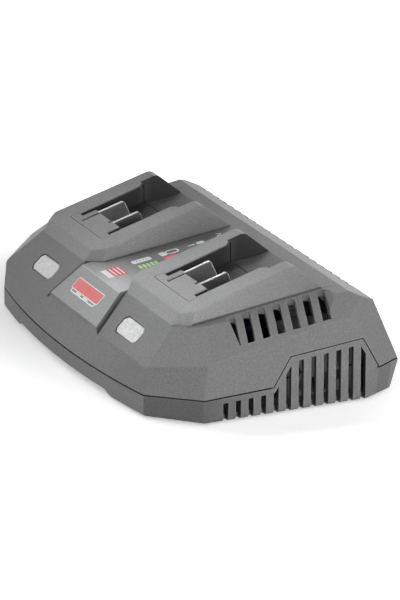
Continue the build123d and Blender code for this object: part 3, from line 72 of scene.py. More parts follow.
# Heights of a printed film, and of one printed over another.
FILM_MM = 0.06
OVERPRINT_MM = 0.09

Point = tuple[float, float]
Span = tuple[float, float]
Ramp = tuple[Point, Point]
Colour = tuple[float, float, float, float]
Block = tuple[Point, Point, float]
Socket = bpy.types.NodeSocket
Tree = bpy.types.NodeTree


def linear(code: str) -> Colour:
    """Turn an sRGB hex colour into the linear values that shaders take.

    Args:
        code: six hex digits, with or without a leading hash.

    Returns:
        Red, green, blue and an alpha of one.
    """
    digits = code.lstrip("#")
    values = [int(digits[i:i + 2], 16) / 255 for i in (0, 2, 4)]
    red, green, blue = (value / 12.92 if value <= 0.04045 else ((value + 0.055) / 1.055) ** 2.4
                        for value in values)
    return (red, green, blue, 1.0)


def add_node(tree: Tree, kind: str, settings: dict[str, Any] | None = None,
             **inputs: Any) -> bpy.types.Node:
    """Add one shader node with its settings, input values and links.

    Args:
        tree: node tree that takes the node.
        kind: Blender's name for the node type, without its common prefix.
        settings: attributes of the node itself.
        inputs: input values or sockets to link from; an underscore stands for a space, and
            a name such as in0 means an input by its place.

    Returns:
        The new node.
    """
    node = tree.nodes.new("ShaderNode" + kind)
    for name, value in (settings or {}).items():
        setattr(node, name, value)
    for name, value in inputs.items():
        key = int(name[2:]) if name[:2] == "in" and name[2:].isdigit() else name.replace("_", " ")
        socket = node.inputs[key]
        if isinstance(value, Socket):
            tree.links.new(value, socket)
        else:
            socket.default_value = value
    return node


def pattern_scale(size_mm: float) -> float:
    """Texture scale whose features are about size_mm wide, since one object unit is a metre."""
    return 1.0 / (size_mm * MM)


@dataclass(frozen=True)
class Surface:
    """Flat face that carries printing, with its own directions, in mm."""

    origin: tuple[float, float, float]
    slope: float

    def normal(self) -> Vector:
        """Outward direction of the face."""
        angle = math.radians(self.slope)
        return Vector((0.0, -math.sin(angle), math.cos(angle)))

    def upslope(self) -> Vector:
        """Direction up the slope of the face."""
        angle = math.radians(self.slope)
        return Vector((0.0, math.cos(angle), math.sin(angle)))

    def at(self, across: float, up: float, out: float) -> Vector:
        """Turn a place on the face into a point in the row frame.

        Args:
            across: distance to the right.
            up: distance up the slope.
            out: height above the face.

        Returns:
            The point, in metres.
        """
        x, y, z = self.origin
        foot = Vector((x + across, y - MID_DEPTH, z))
        return (foot + up * self.upslope() + out * self.normal()) * MM


TOP_FACE = Surface((0.0, 0.0, TOP_FRONT_Z), TOP_SLOPE)
SLOPE_FACE = Surface((0.0, *FRONT_RIDGE), FRONT_SLOPE)
PANEL_FACE = Surface((0.0, FRONT_RIDGE[0], FRONT_RIDGE[1] + PANEL_RISE), FRONT_SLOPE)
BAY_FACE = Surface((0.0, *BAY_FRONT), BAY_SLOPE)


@dataclass(frozen=True)
class Zone:
    """Stretch of either half of the casing, in mm, with no limit where a span is left out.

    Across runs outwards from the middle of the bay, depth runs back from the front corners and
    height up from the table.
    """

    across: Span
    depth: Span | None = None
    height: Span | None = None


class Axis(Enum):
    """Direction that a face looks along, by its place among the coordinates."""

    ACROSS = 0
    DEPTH = 1


@dataclass
class MaskTree:
    """Node tree of one material, with the measures and masks that place its shades.

    Measures are in mm and come from object coordinates, which every piece shares because it
    sits at the origin. A mask is one where it covers fully and zero where it doesn't cover.
    """

    tree: Tree

    @cached_property
    def where(self) -> Socket:
        """Object coordinates, in metres."""
        return add_node(self.tree, "TexCoord").outputs["Object"]

    @cached_property
    def axes(self) -> tuple[Socket, Socket, Socket]:
        """Measure the place as a zone does: across, in depth and in height.

        Returns:
            The three distances.
        """
        scaled = add_node(self.tree, "VectorMath", {"operation": "SCALE"}, in0=self.where,
                          Scale=1 / MM)
        place = add_node(self.tree, "SeparateXYZ", Vector=scaled.outputs[0])
        outwards = add_node(self.tree, "Math", {"operation": "ABSOLUTE"}, in0=place.outputs[0])
        across = self.scaled(outwards.outputs[0], 1.0, -BAY_X)
        depth = self.scaled(place.outputs[1], 1.0, MID_DEPTH)
        return across, depth, place.outputs[2]

    @cached_property
    def rightwards(self) -> Socket:
        """Distance to the right of the middle."""
        return self.measure(Vector((0.0, 0.0, 0.0)), Vector((1.0, 0.0, 0.0)))

    def measure(self, origin: Vector, direction: Vector) -> Socket:
        """Measure the distance from a point along a direction.

        Args:
            origin: the point, in metres.
            direction: the direction, one long.

        Returns:
            The distance.
        """
        along = add_node(self.tree, "VectorMath", {"operation": "DOT_PRODUCT"}, in0=self.where,
                         in1=direction)
        return self.scaled(along.outputs["Value"], 1 / MM, -origin.dot(direction) / MM)

    def height_over(self, face: Surface) -> Socket:
        """Distance out of a sloping face."""
        return self.measure(face.at(0.0, 0.0, 0.0), face.normal())

    def scaled(self, value: Socket, factor: float, more: Socket | float) -> Socket:
        """A value times a factor, plus another value."""
        return add_node(self.tree, "Math", {"operation": "MULTIPLY_ADD"}, in0=value, in1=factor,
                        in2=more).outputs[0]

    def between(self, value: Socket, span: Span) -> Socket:
        """Mask of the places where a value lies between two limits."""
        middle, half = (span[0] + span[1]) / 2, (span[1] - span[0]) / 2
        return add_node(self.tree, "Math", {"operation": "COMPARE"}, in0=value, in1=middle,
                        in2=half).outputs[0]

    def inside(self, zone: Zone) -> Socket:
        """Mask of a zone, on both halves of the casing."""
        limits = zip(self.axes, (zone.across, zone.depth, zone.height))
        return self.both(*(self.between(value, span) for value, span in limits if span))

    def facing(self, axis: Axis, least: float) -> Socket:
        """Mask the faces that look along an axis, either way.

        Args:
            axis: the axis.
            least: smallest share of the face's direction that counts.

        Returns:
            The mask.
        """
        flat = add_node(self.tree, "NewGeometry")
        shares = add_node(self.tree, "SeparateXYZ", Vector=flat.outputs["Normal"])
        along = add_node(self.tree, "Math", {"operation": "ABSOLUTE"},
                         in0=shares.outputs[axis.value])
        return add_node(self.tree, "Math", {"operation": "GREATER_THAN"}, in0=along.outputs[0],
                        in1=least).outputs[0]

    def merge(self, operation: str, masks: Sequence[Socket | float]) -> Socket:
        """Join masks one after another.

        Args:
            operation: Blender's name for what is done to two levels.
            masks: the masks, in which a plain number is a mask of that level.

        Returns:
            The joined mask.
        """
        merged = masks[0]
        for other in masks[1:]:
            merged = add_node(self.tree, "Math", {"operation": operation}, in0=merged,
                              in1=other).outputs[0]
        return merged

    def either(self, *masks: Socket) -> Socket:
        """Largest of several masks."""
        return self.merge("MAXIMUM", masks)

    def both(self, *masks: Socket | float) -> Socket:
        """Product of several masks."""
        return self.merge("MULTIPLY", masks)

    def outside(self, mask: Socket, strength: float = 1.0) -> Socket:
        """What a mask of some strength leaves uncovered."""
        return self.scaled(mask, -strength, 1.0)

    def fade(self, value: Socket, ramp: Ramp) -> Socket:
        """Level that follows a ramp over a value, and holds beyond its ends."""
        (start, low), (end, high) = ramp
        return add_node(self.tree, "MapRange", Value=value, From_Min=start, From_Max=end,
                        To_Min=low, To_Max=high).outputs[0]

    def cover(self, under: Socket, shade: str, mask: Socket) -> Socket:
        """Lay a shade over a colour where a mask covers it."""
        return add_node(self.tree, "Mix", {"data_type": "RGBA"}, in0=mask, in6=under,
                        in7=linear(shade)).outputs[2]


@dataclass(frozen=True)
class Finish:
    """What a surface is made of and how it was made.

    The base class gives a plain grained surface: two shades mixed by soft clouds, a fine grain
    in the bump, and an uneven gloss.
    """

    name: str
    shade: str
    second_shade: str
    roughness: float
    metallic: float = 0.0
    ior: float = 1.5
    coat: float = 0.0
    specular: float = 0.5
    grain_mm: float = 0.8
    grain_depth_mm: float = 0.02
    grain_detail: float = 2.0
    cloud_mm: float = 30.0
    cloud_detail: float = 3.0
    gloss_spread: float = 0.06
    stretch: tuple[float, float, float] = (1.0, 1.0, 1.0)

    def material(self) -> bpy.types.Material:
        """Find the finish's material, or build it on its first use.

        Returns:
            The material, which every piece of this finish shares.
        """
        known = bpy.data.materials.get(self.name)
        if known:
            return known
        material = bpy.data.materials.new(self.name)
        material.use_nodes = True
        tree = material.node_tree
        tree.nodes.clear()
        shader = add_node(tree, "BsdfPrincipled", Metallic=self.metallic, Coat_Weight=self.coat,
                          Specular_IOR_Level=self.specular)
        if self.metallic < LEAST_METAL:
            shader.inputs["IOR"].default_value = self.ior
        output = add_node(tree, "OutputMaterial")
        tree.links.new(shader.outputs[0], output.inputs[0])
        material.diffuse_color = linear(self.shade)
        self.paint(tree, shader)
        return material

    def place(self, tree: Tree) -> Socket:
        """Object coordinates, stretched as the finish asks."""
        where = add_node(tree, "TexCoord").outputs["Object"]
        return add_node(tree, "Mapping", Vector=where, Scale=self.stretch).outputs[0]

    def paint(self, tree: Tree, shader: bpy.types.Node) -> None:
        """Drive the shader's colour, gloss and bump.

        Args:
            tree: the material's node tree.
            shader: its Principled shader.
        """
        where = self.place(tree)
        clouds = add_node(tree, "TexNoise", Vector=where, Scale=pattern_scale(self.cloud_mm),
                          Detail=self.cloud_detail).outputs[0]
        grain = add_node(tree, "TexNoise", Vector=where, Scale=pattern_scale(self.grain_mm),
                         Detail=self.grain_detail).outputs[0]
        tree.links.new(self.colour(tree, where, clouds), shader.inputs["Base Color"])
        self.emboss(tree, shader, grain)
        self.polish(tree, shader, clouds)

    def colour(self, tree: Tree, where: Socket, clouds: Socket) -> Socket:
        """Colour of the surface, given its coordinates and its clouds."""
        return self.mixed(tree, clouds)

    def mixed(self, tree: Tree, level: Socket) -> Socket:
        """Colour that runs from the first shade to the second."""
        return add_node(tree, "Mix", {"data_type": "RGBA"}, in0=level, in6=linear(self.shade),
                        in7=linear(self.second_shade)).outputs[2]

    def emboss(self, tree: Tree, shader: bpy.types.Node, height: Socket) -> None:
        """Drive the shader's bump by a height of up to one."""
        bump = add_node(tree, "Bump", Height=height, Distance=self.grain_depth_mm * MM)
        tree.links.new(bump.outputs[0], shader.inputs["Normal"])

    def polish(self, tree: Tree, shader: bpy.types.Node, level: Socket) -> None:
        """Drive the shader's roughness around its mean by a level of up to one."""
        gloss = add_node(tree, "MapRange", Value=level, To_Min=self.roughness - self.gloss_spread,
                         To_Max=self.roughness + self.gloss_spread)
        tree.links.new(gloss.outputs[0], shader.inputs["Roughness"])


@dataclass
class CasingMasks(MaskTree):
    """Masks of the parts of the casing that get painted light, painted shade or a paler colour.

    Each field names a part first. Its zone is its place, over gives its heights over a face, a
    ramp how its strength changes over a distance, and facing the least share of a direction
    that counts.
    """

    edge_mm: float = 1.4
    edge_samples: int = 4
    edge_turn: Ramp = ((1.0, 0.0), (0.8, 0.3))
    crease_mm: float = 2.4
    crease_samples: int = 6
    crease_sky: Ramp = ((0.86, 0.0), (0.3, 0.85))
    crease_loss: float = 0.8
    raised_over: Span = (0.15, 60.0)
    raised_zone: Zone = Zone((-39.0, 39.0))
    raised_rearward: Ramp = ((32.0, 0.0), (106.0, 1.0))
    raised_leftward: Ramp = ((-15.0, 0.3), (15.0, 0.0))
    skirt_zone: Zone = Zone((40.4, 66.0), (0.0, 140.0))
    skirt_top: Ramp = ((0.5, 0.0), (-0.5, 1.0))
    skirt_front: Ramp = ((25.0, 1.0), (62.0, 0.1))
    skirt_rear: Ramp = ((129.0, 0.0), (131.0, 0.6))
    panel_over: Span = (1.2, 6.0)
    panel_zone: Zone = Zone((-BAY_X, -24.0), height=(20.0, 48.2))
    crest_over: Span = (-0.4, 0.5)
    crest_zone: Zone = Zone((-BAY_X, -31.0))
    crest_rightward: Ramp = ((-30.0, 0.25), (12.0, 1.0))
    crest_rearward: Ramp = ((22.0, 0.95), (48.0, 0.0))
    bay_width: Zone = Zone((-27.2, 27.2))
    bay_walls_facing: float = 0.7
    bay_walls_over: Span = (-40.0, 12.0)
    bay_walls_rearward: Ramp = ((50.0, 0.0), (88.0, 1.0))
    bay_floor_over: Span = (-40.0, -0.7)
    bay_floor_depth: Span = (34.0, 108.6)
    bay_floor_rearward: Ramp = ((78.0, 1.0), (108.0, 0.3))
    swept_vent_zone: Zone = Zone((38.0, 59.5), (40.0, 131.0), (20.0, 52.0))
    swept_vent_facing: float = 0.6
    low_vent_zone: Zone = Zone((59.6, 64.9), (30.0, 131.0), (2.0, 33.0))
    low_vent_facing: float = 0.8
    low_vent_strength: float = 0.8
    groove_beside: Span = (-1.7, 1.3)
    groove_over: Span = (-1.5, 1.75)
    groove_height: Span = (28.0, 47.6)
    groove_strength: float = 0.85
    outer_foot_zone: Zone = Zone((38.52, 39.3), (27.0, 114.0), (30.0, 62.0))
    inner_foot_zone: Zone = Zone((-45.0, -20.0), (20.0, 116.0))
    inner_foot_over: Span = (0.0, 0.5)
    inner_foot_facing: float = 0.3
    foot_strength: float = 0.6
    seam_lips: Span = (-0.1, 0.75)
    cheek_zone: Zone = Zone((56.0, 66.0), CHEEK_Y)

    @cached_property
    def over_seam(self) -> Socket:
        """Height over the joint of the casing, which rises towards the rear."""
        _, depth, height = self.axes
        return self.scaled(depth, -SEAM_RISE, self.scaled(height, 1.0, -SEAM_FRONT_Z))

    @cached_property
    def raised(self) -> Socket:
        """The two raised bays, above the top face, which get painted light."""
        above = self.between(self.height_over(TOP_FACE), self.raised_over)
        return self.both(above, self.inside(self.raised_zone))

    @cached_property
    def swept_vents(self) -> Socket:
        """The walls of the swept vents, which get painted light and less painted crease shade."""
        return self.both(self.facing(Axis.DEPTH, self.swept_vent_facing),
                         self.inside(self.swept_vent_zone))

    def raised_rear(self) -> Socket:
        """Painted shade on the raised bays, more and more towards the rear and the left."""
        return self.both(self.raised, self.either(
            self.fade(self.axes[1], self.raised_rearward),
            self.fade(self.rightwards, self.raised_leftward)))

    def skirt(self) -> Socket:
        """Painted shade on the lower half of both sides, most near the front corners."""
        strength = self.either(self.fade(self.axes[1], self.skirt_front),
                               self.fade(self.axes[1], self.skirt_rear))
        return self.both(self.inside(self.skirt_zone), self.fade(self.over_seam, self.skirt_top),
                         strength)

    def panel(self) -> Socket:
        """The panel that stands proud of the front slope."""
        above = self.between(self.height_over(SLOPE_FACE), self.panel_over)
        return self.both(above, self.inside(self.panel_zone))

    def crest(self) -> Socket:
        """Painted highlight on the top face behind the panel, less and less towards the rear and
        the left.
        """
        above = self.between(self.height_over(TOP_FACE), self.crest_over)
        return self.both(above, self.inside(self.crest_zone),
                         self.fade(self.rightwards, self.crest_rightward),
                         self.fade(self.axes[1], self.crest_rearward))

    def edges(self) -> Socket:
        """Mask the painted highlight where a rounded normal leaves the flat one.

        Returns:
            The mask, at a part of its strength.
        """
        rounded = add_node(self.tree, "Bevel", {"samples": self.edge_samples},
                           Radius=self.edge_mm * MM)
        flat = add_node(self.tree, "NewGeometry")
        turn = add_node(self.tree, "VectorMath", {"operation": "DOT_PRODUCT"},
                        in0=rounded.outputs[0], in1=flat.outputs["Normal"])
        return self.fade(turn.outputs["Value"], self.edge_turn)

    def bays(self) -> Socket:
        """Mask the painted shade on the walls and floors inside the two bays.

        Returns:
            The mask, weaker on the rear floors and the front walls.
        """
        _, depth, _ = self.axes
        over, width = self.height_over(BAY_FACE), self.inside(self.bay_width)
        walls = self.both(width, self.facing(Axis.ACROSS, self.bay_walls_facing),
                          self.between(over, self.bay_walls_over),
                          self.fade(depth, self.bay_walls_rearward))
        floors = self.both(width, self.between(over, self.bay_floor_over),
                           self.between(depth, self.bay_floor_depth),
                           self.fade(depth, self.bay_floor_rearward))
        return self.either(walls, floors)

    def creases(self) -> Socket:
        """Painted shade in inner corners and grooves, from ambient occlusion, less in the swept
        vents.
        """
        sky = add_node(self.tree, "AmbientOcclusion", {"samples": self.crease_samples},
                       Distance=self.crease_mm * MM)
        return self.both(self.fade(sky.outputs["AO"], self.crease_sky),
                         self.outside(self.swept_vents, self.crease_loss))

    def low_vents(self) -> Socket:
        """Painted shade on the walls of the low vents."""
        return self.both(self.facing(Axis.DEPTH, self.low_vent_facing),
                         self.inside(self.low_vent_zone), self.low_vent_strength)

    @cached_property
    def beside_panel(self) -> Socket:
        """Distance outwards from the nearer flank of the raised panel."""
        foot = BAY_X - PANEL_HALF_WIDTH - PANEL_TAPER * FRONT_RIDGE[1]
        return self.scaled(self.axes[2], PANEL_TAPER, self.scaled(self.axes[0], 1.0, foot))

    def panel_grooves(self) -> Socket:
        """Painted shade in the grooves and low walls along both flanks of the raised panel."""
        return self.both(self.between(self.beside_panel, self.groove_beside),
                         self.between(self.height_over(SLOPE_FACE), self.groove_over),
                         self.between(self.axes[2], self.groove_height), self.groove_strength)

    def bay_feet(self) -> Socket:
        """Painted shade in the sharp inner corner at the foot of each raised bay."""
        inner = self.both(self.between(self.height_over(TOP_FACE), self.inner_foot_over),
                          self.facing(Axis.ACROSS, self.inner_foot_facing),
                          self.inside(self.inner_foot_zone))
        return self.both(self.either(self.inside(self.outer_foot_zone), inner),
                         self.foot_strength)

    def seam(self) -> Socket:
        """Lips of the joint that runs round the casing, darkened by painted shade, but not on the
        cheeks.
        """
        lips = self.between(self.over_seam, self.seam_lips)
        return self.both(lips, self.outside(self.inside(self.cheek_zone)))


@dataclass(frozen=True)
class SparkErodedPlastic(Finish):
    """Grey plastic moulded against spark-eroded steel.

    The tool leaves an even satin stipple, and a painted highlight turns the edges a little paler.
    Painted shade darkens the insides of the bays, the lower sides, the creases, the low vents and
    the joint. Painted light makes the raised bays and the walls of the swept vents paler, with
    painted shade towards the bays' rear and left, a painted highlight lies on the top face behind
    the panel, and the panel between them is paler.
    """

    cloud_detail: float = 4.0
    speckle_detail: float = 3.0
    speckle_depth: float = 0.15
    # Painted highlight along the rounded edges.
    edge_painted_highlight: str = "a6a6a6"
    # Painted shade inside the bays.
    bay_painted_shade: str = "2c2c2c"
    # Painted shade in creases, grooves and the feet of the raised bays.
    crease_painted_shade: str = "262626"
    # Painted shade in the joint and on the walls of the low vents.
    seam_painted_shade: str = "0c0c0c"
    # Painted light on the walls of the swept vents.
    swept_vent_painted_light: str = "8c8c8c"
    # Painted shade on the lower sides.
    skirt_painted_shade: str = "5e5e5e"
    # Painted light on the raised bays.
    raised_painted_light: str = "9c9c9c"
    # Painted shade on the raised bays towards the rear and the left.
    raised_rear_painted_shade: str = "808080"
    panel_shade: str = "a6a6a6"
    # Painted highlight on the top face behind the panel.
    crest_painted_highlight: str = "d2d2d2"

    def colour(self, tree: Tree, where: Socket, clouds: Socket) -> Socket:
        """Lay the colours, painted light and painted shade of the parts over each other, then the
        stipple.

        Args:
            tree: the material's node tree.
            where: coordinates of the stipple.
            clouds: level that mixes the first two shades.

        Returns:
            The colour.
        """
        body = self.mixed(tree, clouds)
        masks = CasingMasks(tree)
        layers = (
            # Painted light on the raised bays.
            (self.raised_painted_light, masks.raised),
            # Painted shade on the raised bays towards the rear and the left.
            (self.raised_rear_painted_shade, masks.raised_rear()),
            # Painted shade on the lower half of both sides.
            (self.skirt_painted_shade, masks.skirt()),
            (self.panel_shade, masks.panel()),
            # Painted highlight on the top face behind the panel.
            (self.crest_painted_highlight, masks.crest()),
            # Painted highlight along the rounded edges.
            (self.edge_painted_highlight, masks.edges()),
            # Painted shade inside the bays, weaker on the rear floors and front walls.
            (self.bay_painted_shade, masks.bays()),
            # Painted shade in inner corners and grooves.
            (self.crease_painted_shade, masks.creases()),
            # Painted light on the walls of the swept vents.
            (self.swept_vent_painted_light, masks.swept_vents),
            # Painted shade on the walls of the low vents.
            (self.seam_painted_shade, masks.low_vents()),
            # Painted shade in the grooves beside the raised panel.
            (self.crease_painted_shade, masks.panel_grooves()),
            # Painted shade at the foot of each raised bay.
            (self.crease_painted_shade, masks.bay_feet()),
            # Painted shade in the joint between the shells.
            (self.seam_painted_shade, masks.seam()),
        )
        for shade, mask in layers:
            body = masks.cover(body, shade, mask)
        return self.speckle(tree, where, body)

    def speckle(self, tree: Tree, where: Socket, shade: Socket) -> Socket:
        """Vary a colour a little from pit to pit of the stipple.

        Args:
            tree: the material's node tree.
            where: coordinates of the stipple.
            shade: the colour.

        Returns:
            The varied colour.
        """
        pits = add_node(tree, "TexNoise", Vector=where, Scale=pattern_scale(self.grain_mm),
                        Detail=self.speckle_detail)
        level = add_node(tree, "MapRange", Value=pits.outputs[0], From_Min=NOISE_SPAN[0],
                         From_Max=NOISE_SPAN[1], To_Min=1.0 - self.speckle_depth,
                         To_Max=1.0 + self.speckle_depth)
        return add_node(tree, "VectorMath", {"operation": "SCALE"}, in0=shade,
                        Scale=level.outputs[0]).outputs[0]


@dataclass(frozen=True)
class RolledStrip(Finish):
    """Nickel-plated strip: rolling lines, a soft tarnish and a painted white highlight on its
    upper edge.
    """

    grain_detail: float = 3.0
    cloud_detail: float = 5.0
    tarnish_span: Span = (0.45, 0.7)
    # Painted white highlight on the blades' top and rear edges, with less metallic.
    edge_painted_highlight: str = "fcfcfc"
    edge_metallic: float = 0.15
    top_edge: Span = (-1.65, 0.0)
    rear_edge: Span = (41.05, 60.0)
    rear_lean: float = 0.1316

    def paint(self, tree: Tree, shader: bpy.types.Node) -> None:
        """Stretch the grain into lines and darken it in patches.

        Args:
            tree: the material's node tree.
            shader: its Principled shader.
        """
        where = self.place(tree)
        lines = add_node(tree, "TexNoise", Vector=where, Scale=pattern_scale(self.grain_mm),
                         Detail=self.grain_detail).outputs[0]
        tarnish = add_node(tree, "TexNoise", Vector=where, Scale=pattern_scale(self.cloud_mm),
                           Detail=self.cloud_detail).outputs[0]
        patches = add_node(tree, "MapRange", Value=tarnish, From_Min=self.tarnish_span[0],
                           From_Max=self.tarnish_span[1]).outputs[0]
        masks = MaskTree(tree)
        # Painted highlight: the top and rear edges turn white and less metallic.
        edge = self.painted_highlight_edges(masks)
        tree.links.new(masks.cover(self.mixed(tree, patches), self.edge_painted_highlight, edge),
                       shader.inputs["Base Color"])
        tree.links.new(masks.fade(edge, ((0.0, self.metallic), (1.0, self.edge_metallic))),
                       shader.inputs["Metallic"])
        self.emboss(tree, shader, lines)
        self.polish(tree, shader, lines)

    def painted_highlight_edges(self, masks: MaskTree) -> Socket:
        """Mask the top and rear edges of the blades, which carry a painted white highlight.

        Args:
            masks: the material's measures and masks.

        Returns:
            The mask, which leaves the blades' sides out.
        """
        height = masks.height_over(BAY_FACE)
        run = masks.measure(BAY_FACE.at(0.0, 0.0, 0.0), BAY_FACE.upslope())
        leaning = masks.scaled(height, self.rear_lean, run)
        return masks.either(masks.between(height, self.top_edge),
                            masks.between(leaning, self.rear_edge))


@dataclass(frozen=True)
class FrostedPolycarbonate(Finish):
    """Milky light window whose inner face carries a pattern of small facets."""

    facet_mm: float = 1.6
    facet_disorder: float = 0.55
    milkiness: float = 0.25
    milk_mm: float = 2.0

    def paint(self, tree: Tree, shader: bpy.types.Node) -> None:
        """Show the facets through a faintly glossy skin.

        Args:
            tree: the material's node tree.
            shader: its Principled shader.
        """
        facets = add_node(tree, "TexVoronoi", {"feature": "F1"}, Vector=self.place(tree),
                          Scale=pattern_scale(self.facet_mm), Randomness=self.facet_disorder)
        tint = add_node(tree, "SeparateColor", Color=facets.outputs["Color"])
        tree.links.new(self.mixed(tree, tint.outputs[0]), shader.inputs["Base Color"])
        self.emboss(tree, shader, facets.outputs["Distance"])
        shader.inputs["Roughness"].default_value = self.roughness
        shader.inputs["Subsurface Weight"].default_value = self.milkiness
        shader.inputs["Subsurface Radius"].default_value = (1.0, 1.0, 1.0)
        shader.inputs["Subsurface Scale"].default_value = self.milk_mm * MM


@dataclass(frozen=True)
class BorosilicateTube(Finish):
    """Clear tube of the fuse, faintly green where it is seen edge on."""

    clearness: float = 0.85

    def paint(self, tree: Tree, shader: bpy.types.Node) -> None:
        """Let light through, with the usual grain in the surface."""
        super().paint(tree, shader)
        shader.inputs["Transmission Weight"].default_value = self.clearness


# Moulded grey ABS: an even satin grey with a painted highlight along its edges. The stipple of
# its tool is finer than a tenth of a millimetre and is drawn coarser, to show.
CASING_ABS = SparkErodedPlastic("moulded_grey_abs", "797979", "7e7e7e", 0.6, ior=1.53,
                                specular=0.3, grain_mm=0.9, grain_depth_mm=0.03, cloud_mm=42.0)
# Glass-filled nylon: a paler grey with faint flow clouds. Its stipple is drawn coarser too.
BLOCK_NYLON = SparkErodedPlastic("moulded_glass_filled_nylon", "a5a5a5", "aaaaaa", 0.6, ior=1.53,
                                 specular=0.3, grain_mm=0.7, grain_depth_mm=0.03, cloud_mm=18.0)
# Nickel plate on copper strip: bright, with a painted white highlight on its sheared edges.
# The rolling lines are some hundredths of a millimetre apart and are drawn coarser, to show.
BLADE_NICKEL = RolledStrip("nickel_plated_strip", "bcbcbd", "969697", 0.34, 1.0, grain_mm=0.5,
                           grain_depth_mm=0.01, cloud_mm=6.0, gloss_spread=0.08,
                           stretch=(1.0, 0.15, 1.0))
# Polycarbonate with a diffusing filler: milky, with pale facets.
LENS_POLYCARBONATE = FrostedPolycarbonate("milky_polycarbonate", "d8d9d9", "efefef", 0.32,
                                          ior=1.58, grain_depth_mm=0.08)

# The finishes below are on pieces inside the casing or under it. Their real grain is mostly
# finer than half a millimetre and is drawn that coarse, to show.

# Epoxy-glass laminate under solder mask: glossy bottle green, faintly uneven.
BOARD_LAMINATE = Finish("solder_masked_laminate", "12402a", "185236", 0.35, coat=0.4,
                        grain_mm=0.6, cloud_mm=9.0)
# Clear epoxy dome: glassy with a hint of green.
LED_EPOXY = Finish("cast_epoxy_dome", "c9d2c4", "dfe5da", 0.12, coat=0.6, grain_mm=0.5,
                   grain_depth_mm=0.004)
# Natural nylon: a creamy white that looks slightly waxy.
HEADER_NYLON = Finish("moulded_natural_nylon", "d8cfb8", "e0d9c6", 0.42, grain_mm=0.5)
# PVC insulation: soft, faintly glossy dark red.
LEAD_PVC = Finish("extruded_red_pvc", "7c1410", "8d1b15", 0.38, grain_mm=0.6)
# Zinc plate with a clear passivation: dull silver with bluish patches.
SCREW_ZINC = Finish("zinc_plated_steel", "b6b9bd", "9da4ac", 0.36, 1.0, grain_mm=0.4, cloud_mm=3.0)
# Natural rubber: flat black with a dusty bloom.
FOOT_RUBBER = Finish("moulded_rubber", "1b1b1b", "262524", 0.85, grain_mm=0.6, grain_depth_mm=0.04)
# Ferrite: dark grey, finely pitted from the press.
CORE_FERRITE = Finish("sintered_ferrite", "2b2c2e", "35363a", 0.6, grain_mm=0.5,
                      grain_depth_mm=0.05)
# Polyester tape: amber yellow, glossy, with the wrap showing through.
WINDING_TAPE = Finish("polyester_tape", "b98a1e", "cc9d2c", 0.28, coat=0.3, grain_mm=1.2,
                      stretch=(1.0, 1.0, 4.0))
# Shrunk PVC sleeve: deep blue-black and slightly wrinkled.
CAPACITOR_SLEEVE = Finish("shrunk_pvc_sleeve", "141a30", "1b2340", 0.3, coat=0.3, grain_mm=1.5)
# Enamelled copper: warm brown-red with the turns showing as fine ridges.
WINDING_COPPER = Finish("enamelled_copper_wire", "8c4520", "b0602f", 0.3, 0.8, grain_mm=0.8,
                        grain_depth_mm=0.15, stretch=(3.0, 3.0, 0.4))
# Extruded aluminium: pale, with die lines along the section.
SINK_ALUMINIUM = Finish("extruded_aluminium", "c3c5c8", "b2b5b9", 0.4, 1.0, grain_mm=0.6,
                        stretch=(3.0, 3.0, 0.2))
# Moulded epoxy: matt black with a slight sheen.
TRANSISTOR_EPOXY = Finish("moulded_black_epoxy", "191919", "212121", 0.5, grain_mm=0.4)
# Borosilicate glass: clear with a green edge.
FUSE_GLASS = BorosilicateTube("drawn_borosilicate", "dfeae6", "e8f0ee", 0.05, ior=1.47,
                              grain_depth_mm=0.002)
# Brass strip: warm yellow, with faint rolling lines.
CLIP_BRASS = Finish("rolled_brass", "c2a258", "a98a45", 0.3, 1.0, grain_mm=0.4,
                    stretch=(1.0, 0.2, 1.0))
# Moulded nylon of the inlet: near black and satin.
INLET_NYLON = Finish("moulded_black_nylon", "1c1c1d", "242426", 0.48, grain_mm=0.6)
# Moulded polyester of the fan: an even mid grey with a slight sheen.
FAN_PBT = Finish("moulded_grey_pbt", "6c6c6d", "767677", 0.5, grain_mm=0.6)


def sides(name: str) -> tuple[str, str]:
    """Names of a piece's left and right nodes."""
    return (name + "_left", name + "_right")


FINISHED_NODES: dict[Finish, tuple[str, ...]] = {
    CASING_ABS: ("lower_shell", "upper_shell"),
    BLOCK_NYLON: sides("terminal_block"),
    BLADE_NICKEL: sides("positive_blade") + sides("negative_blade"),
    LEAD_PVC: (*sides("contact_leads"), "mains_leads"),
    LENS_POLYCARBONATE: sides("indicator_lens"),
    BOARD_LAMINATE: (*sides("indicator_board"), "main_board"),
    LED_EPOXY: sides("indicator_leds"),
    HEADER_NYLON: ("contact_headers",),
    SCREW_ZINC: ("board_screws", "block_screws", "case_screws"),
    FOOT_RUBBER: ("rubber_feet",),
    CORE_FERRITE: ("transformer_core", "fan_magnet"),
    WINDING_TAPE: ("transformer_winding",),
    CAPACITOR_SLEEVE: ("bulk_capacitors", "output_capacitors"),
    WINDING_COPPER: ("mains_choke", "fan_stator"),
    SINK_ALUMINIUM: ("primary_heat_sink", "output_heat_sink"),
    TRANSISTOR_EPOXY: ("power_transistors",),
    FUSE_GLASS: ("fuse",),
    CLIP_BRASS: ("fuse_clips", "inlet_pins", "fan_bearing"),
    INLET_NYLON: ("mains_inlet",),
    FAN_PBT: ("fan_frame", "fan_rotor"),
}


def pad_ink(name: str, shade: str, second_shade: str) -> Finish:
    """Finish of a printed ink, whose patches are some millimetres wide."""
    return Finish(name, shade, second_shade, 0.5, grain_mm=0.7, grain_depth_mm=0.01, cloud_mm=3.0)


class Ink(Enum):
    """Pad-printing inks and label films, each a slightly uneven satin layer."""

    WHITE = pad_ink("white_pad_ink", "ffffff", "fafafa")
    RED = pad_ink("red_pad_ink", "e0605f", "ea7a78")
    GREEN = pad_ink("green_pad_ink", "b9e58f", "cdf0aa")
    DARK = pad_ink("dark_pad_ink", "6a6a6a", "7a7a7a")


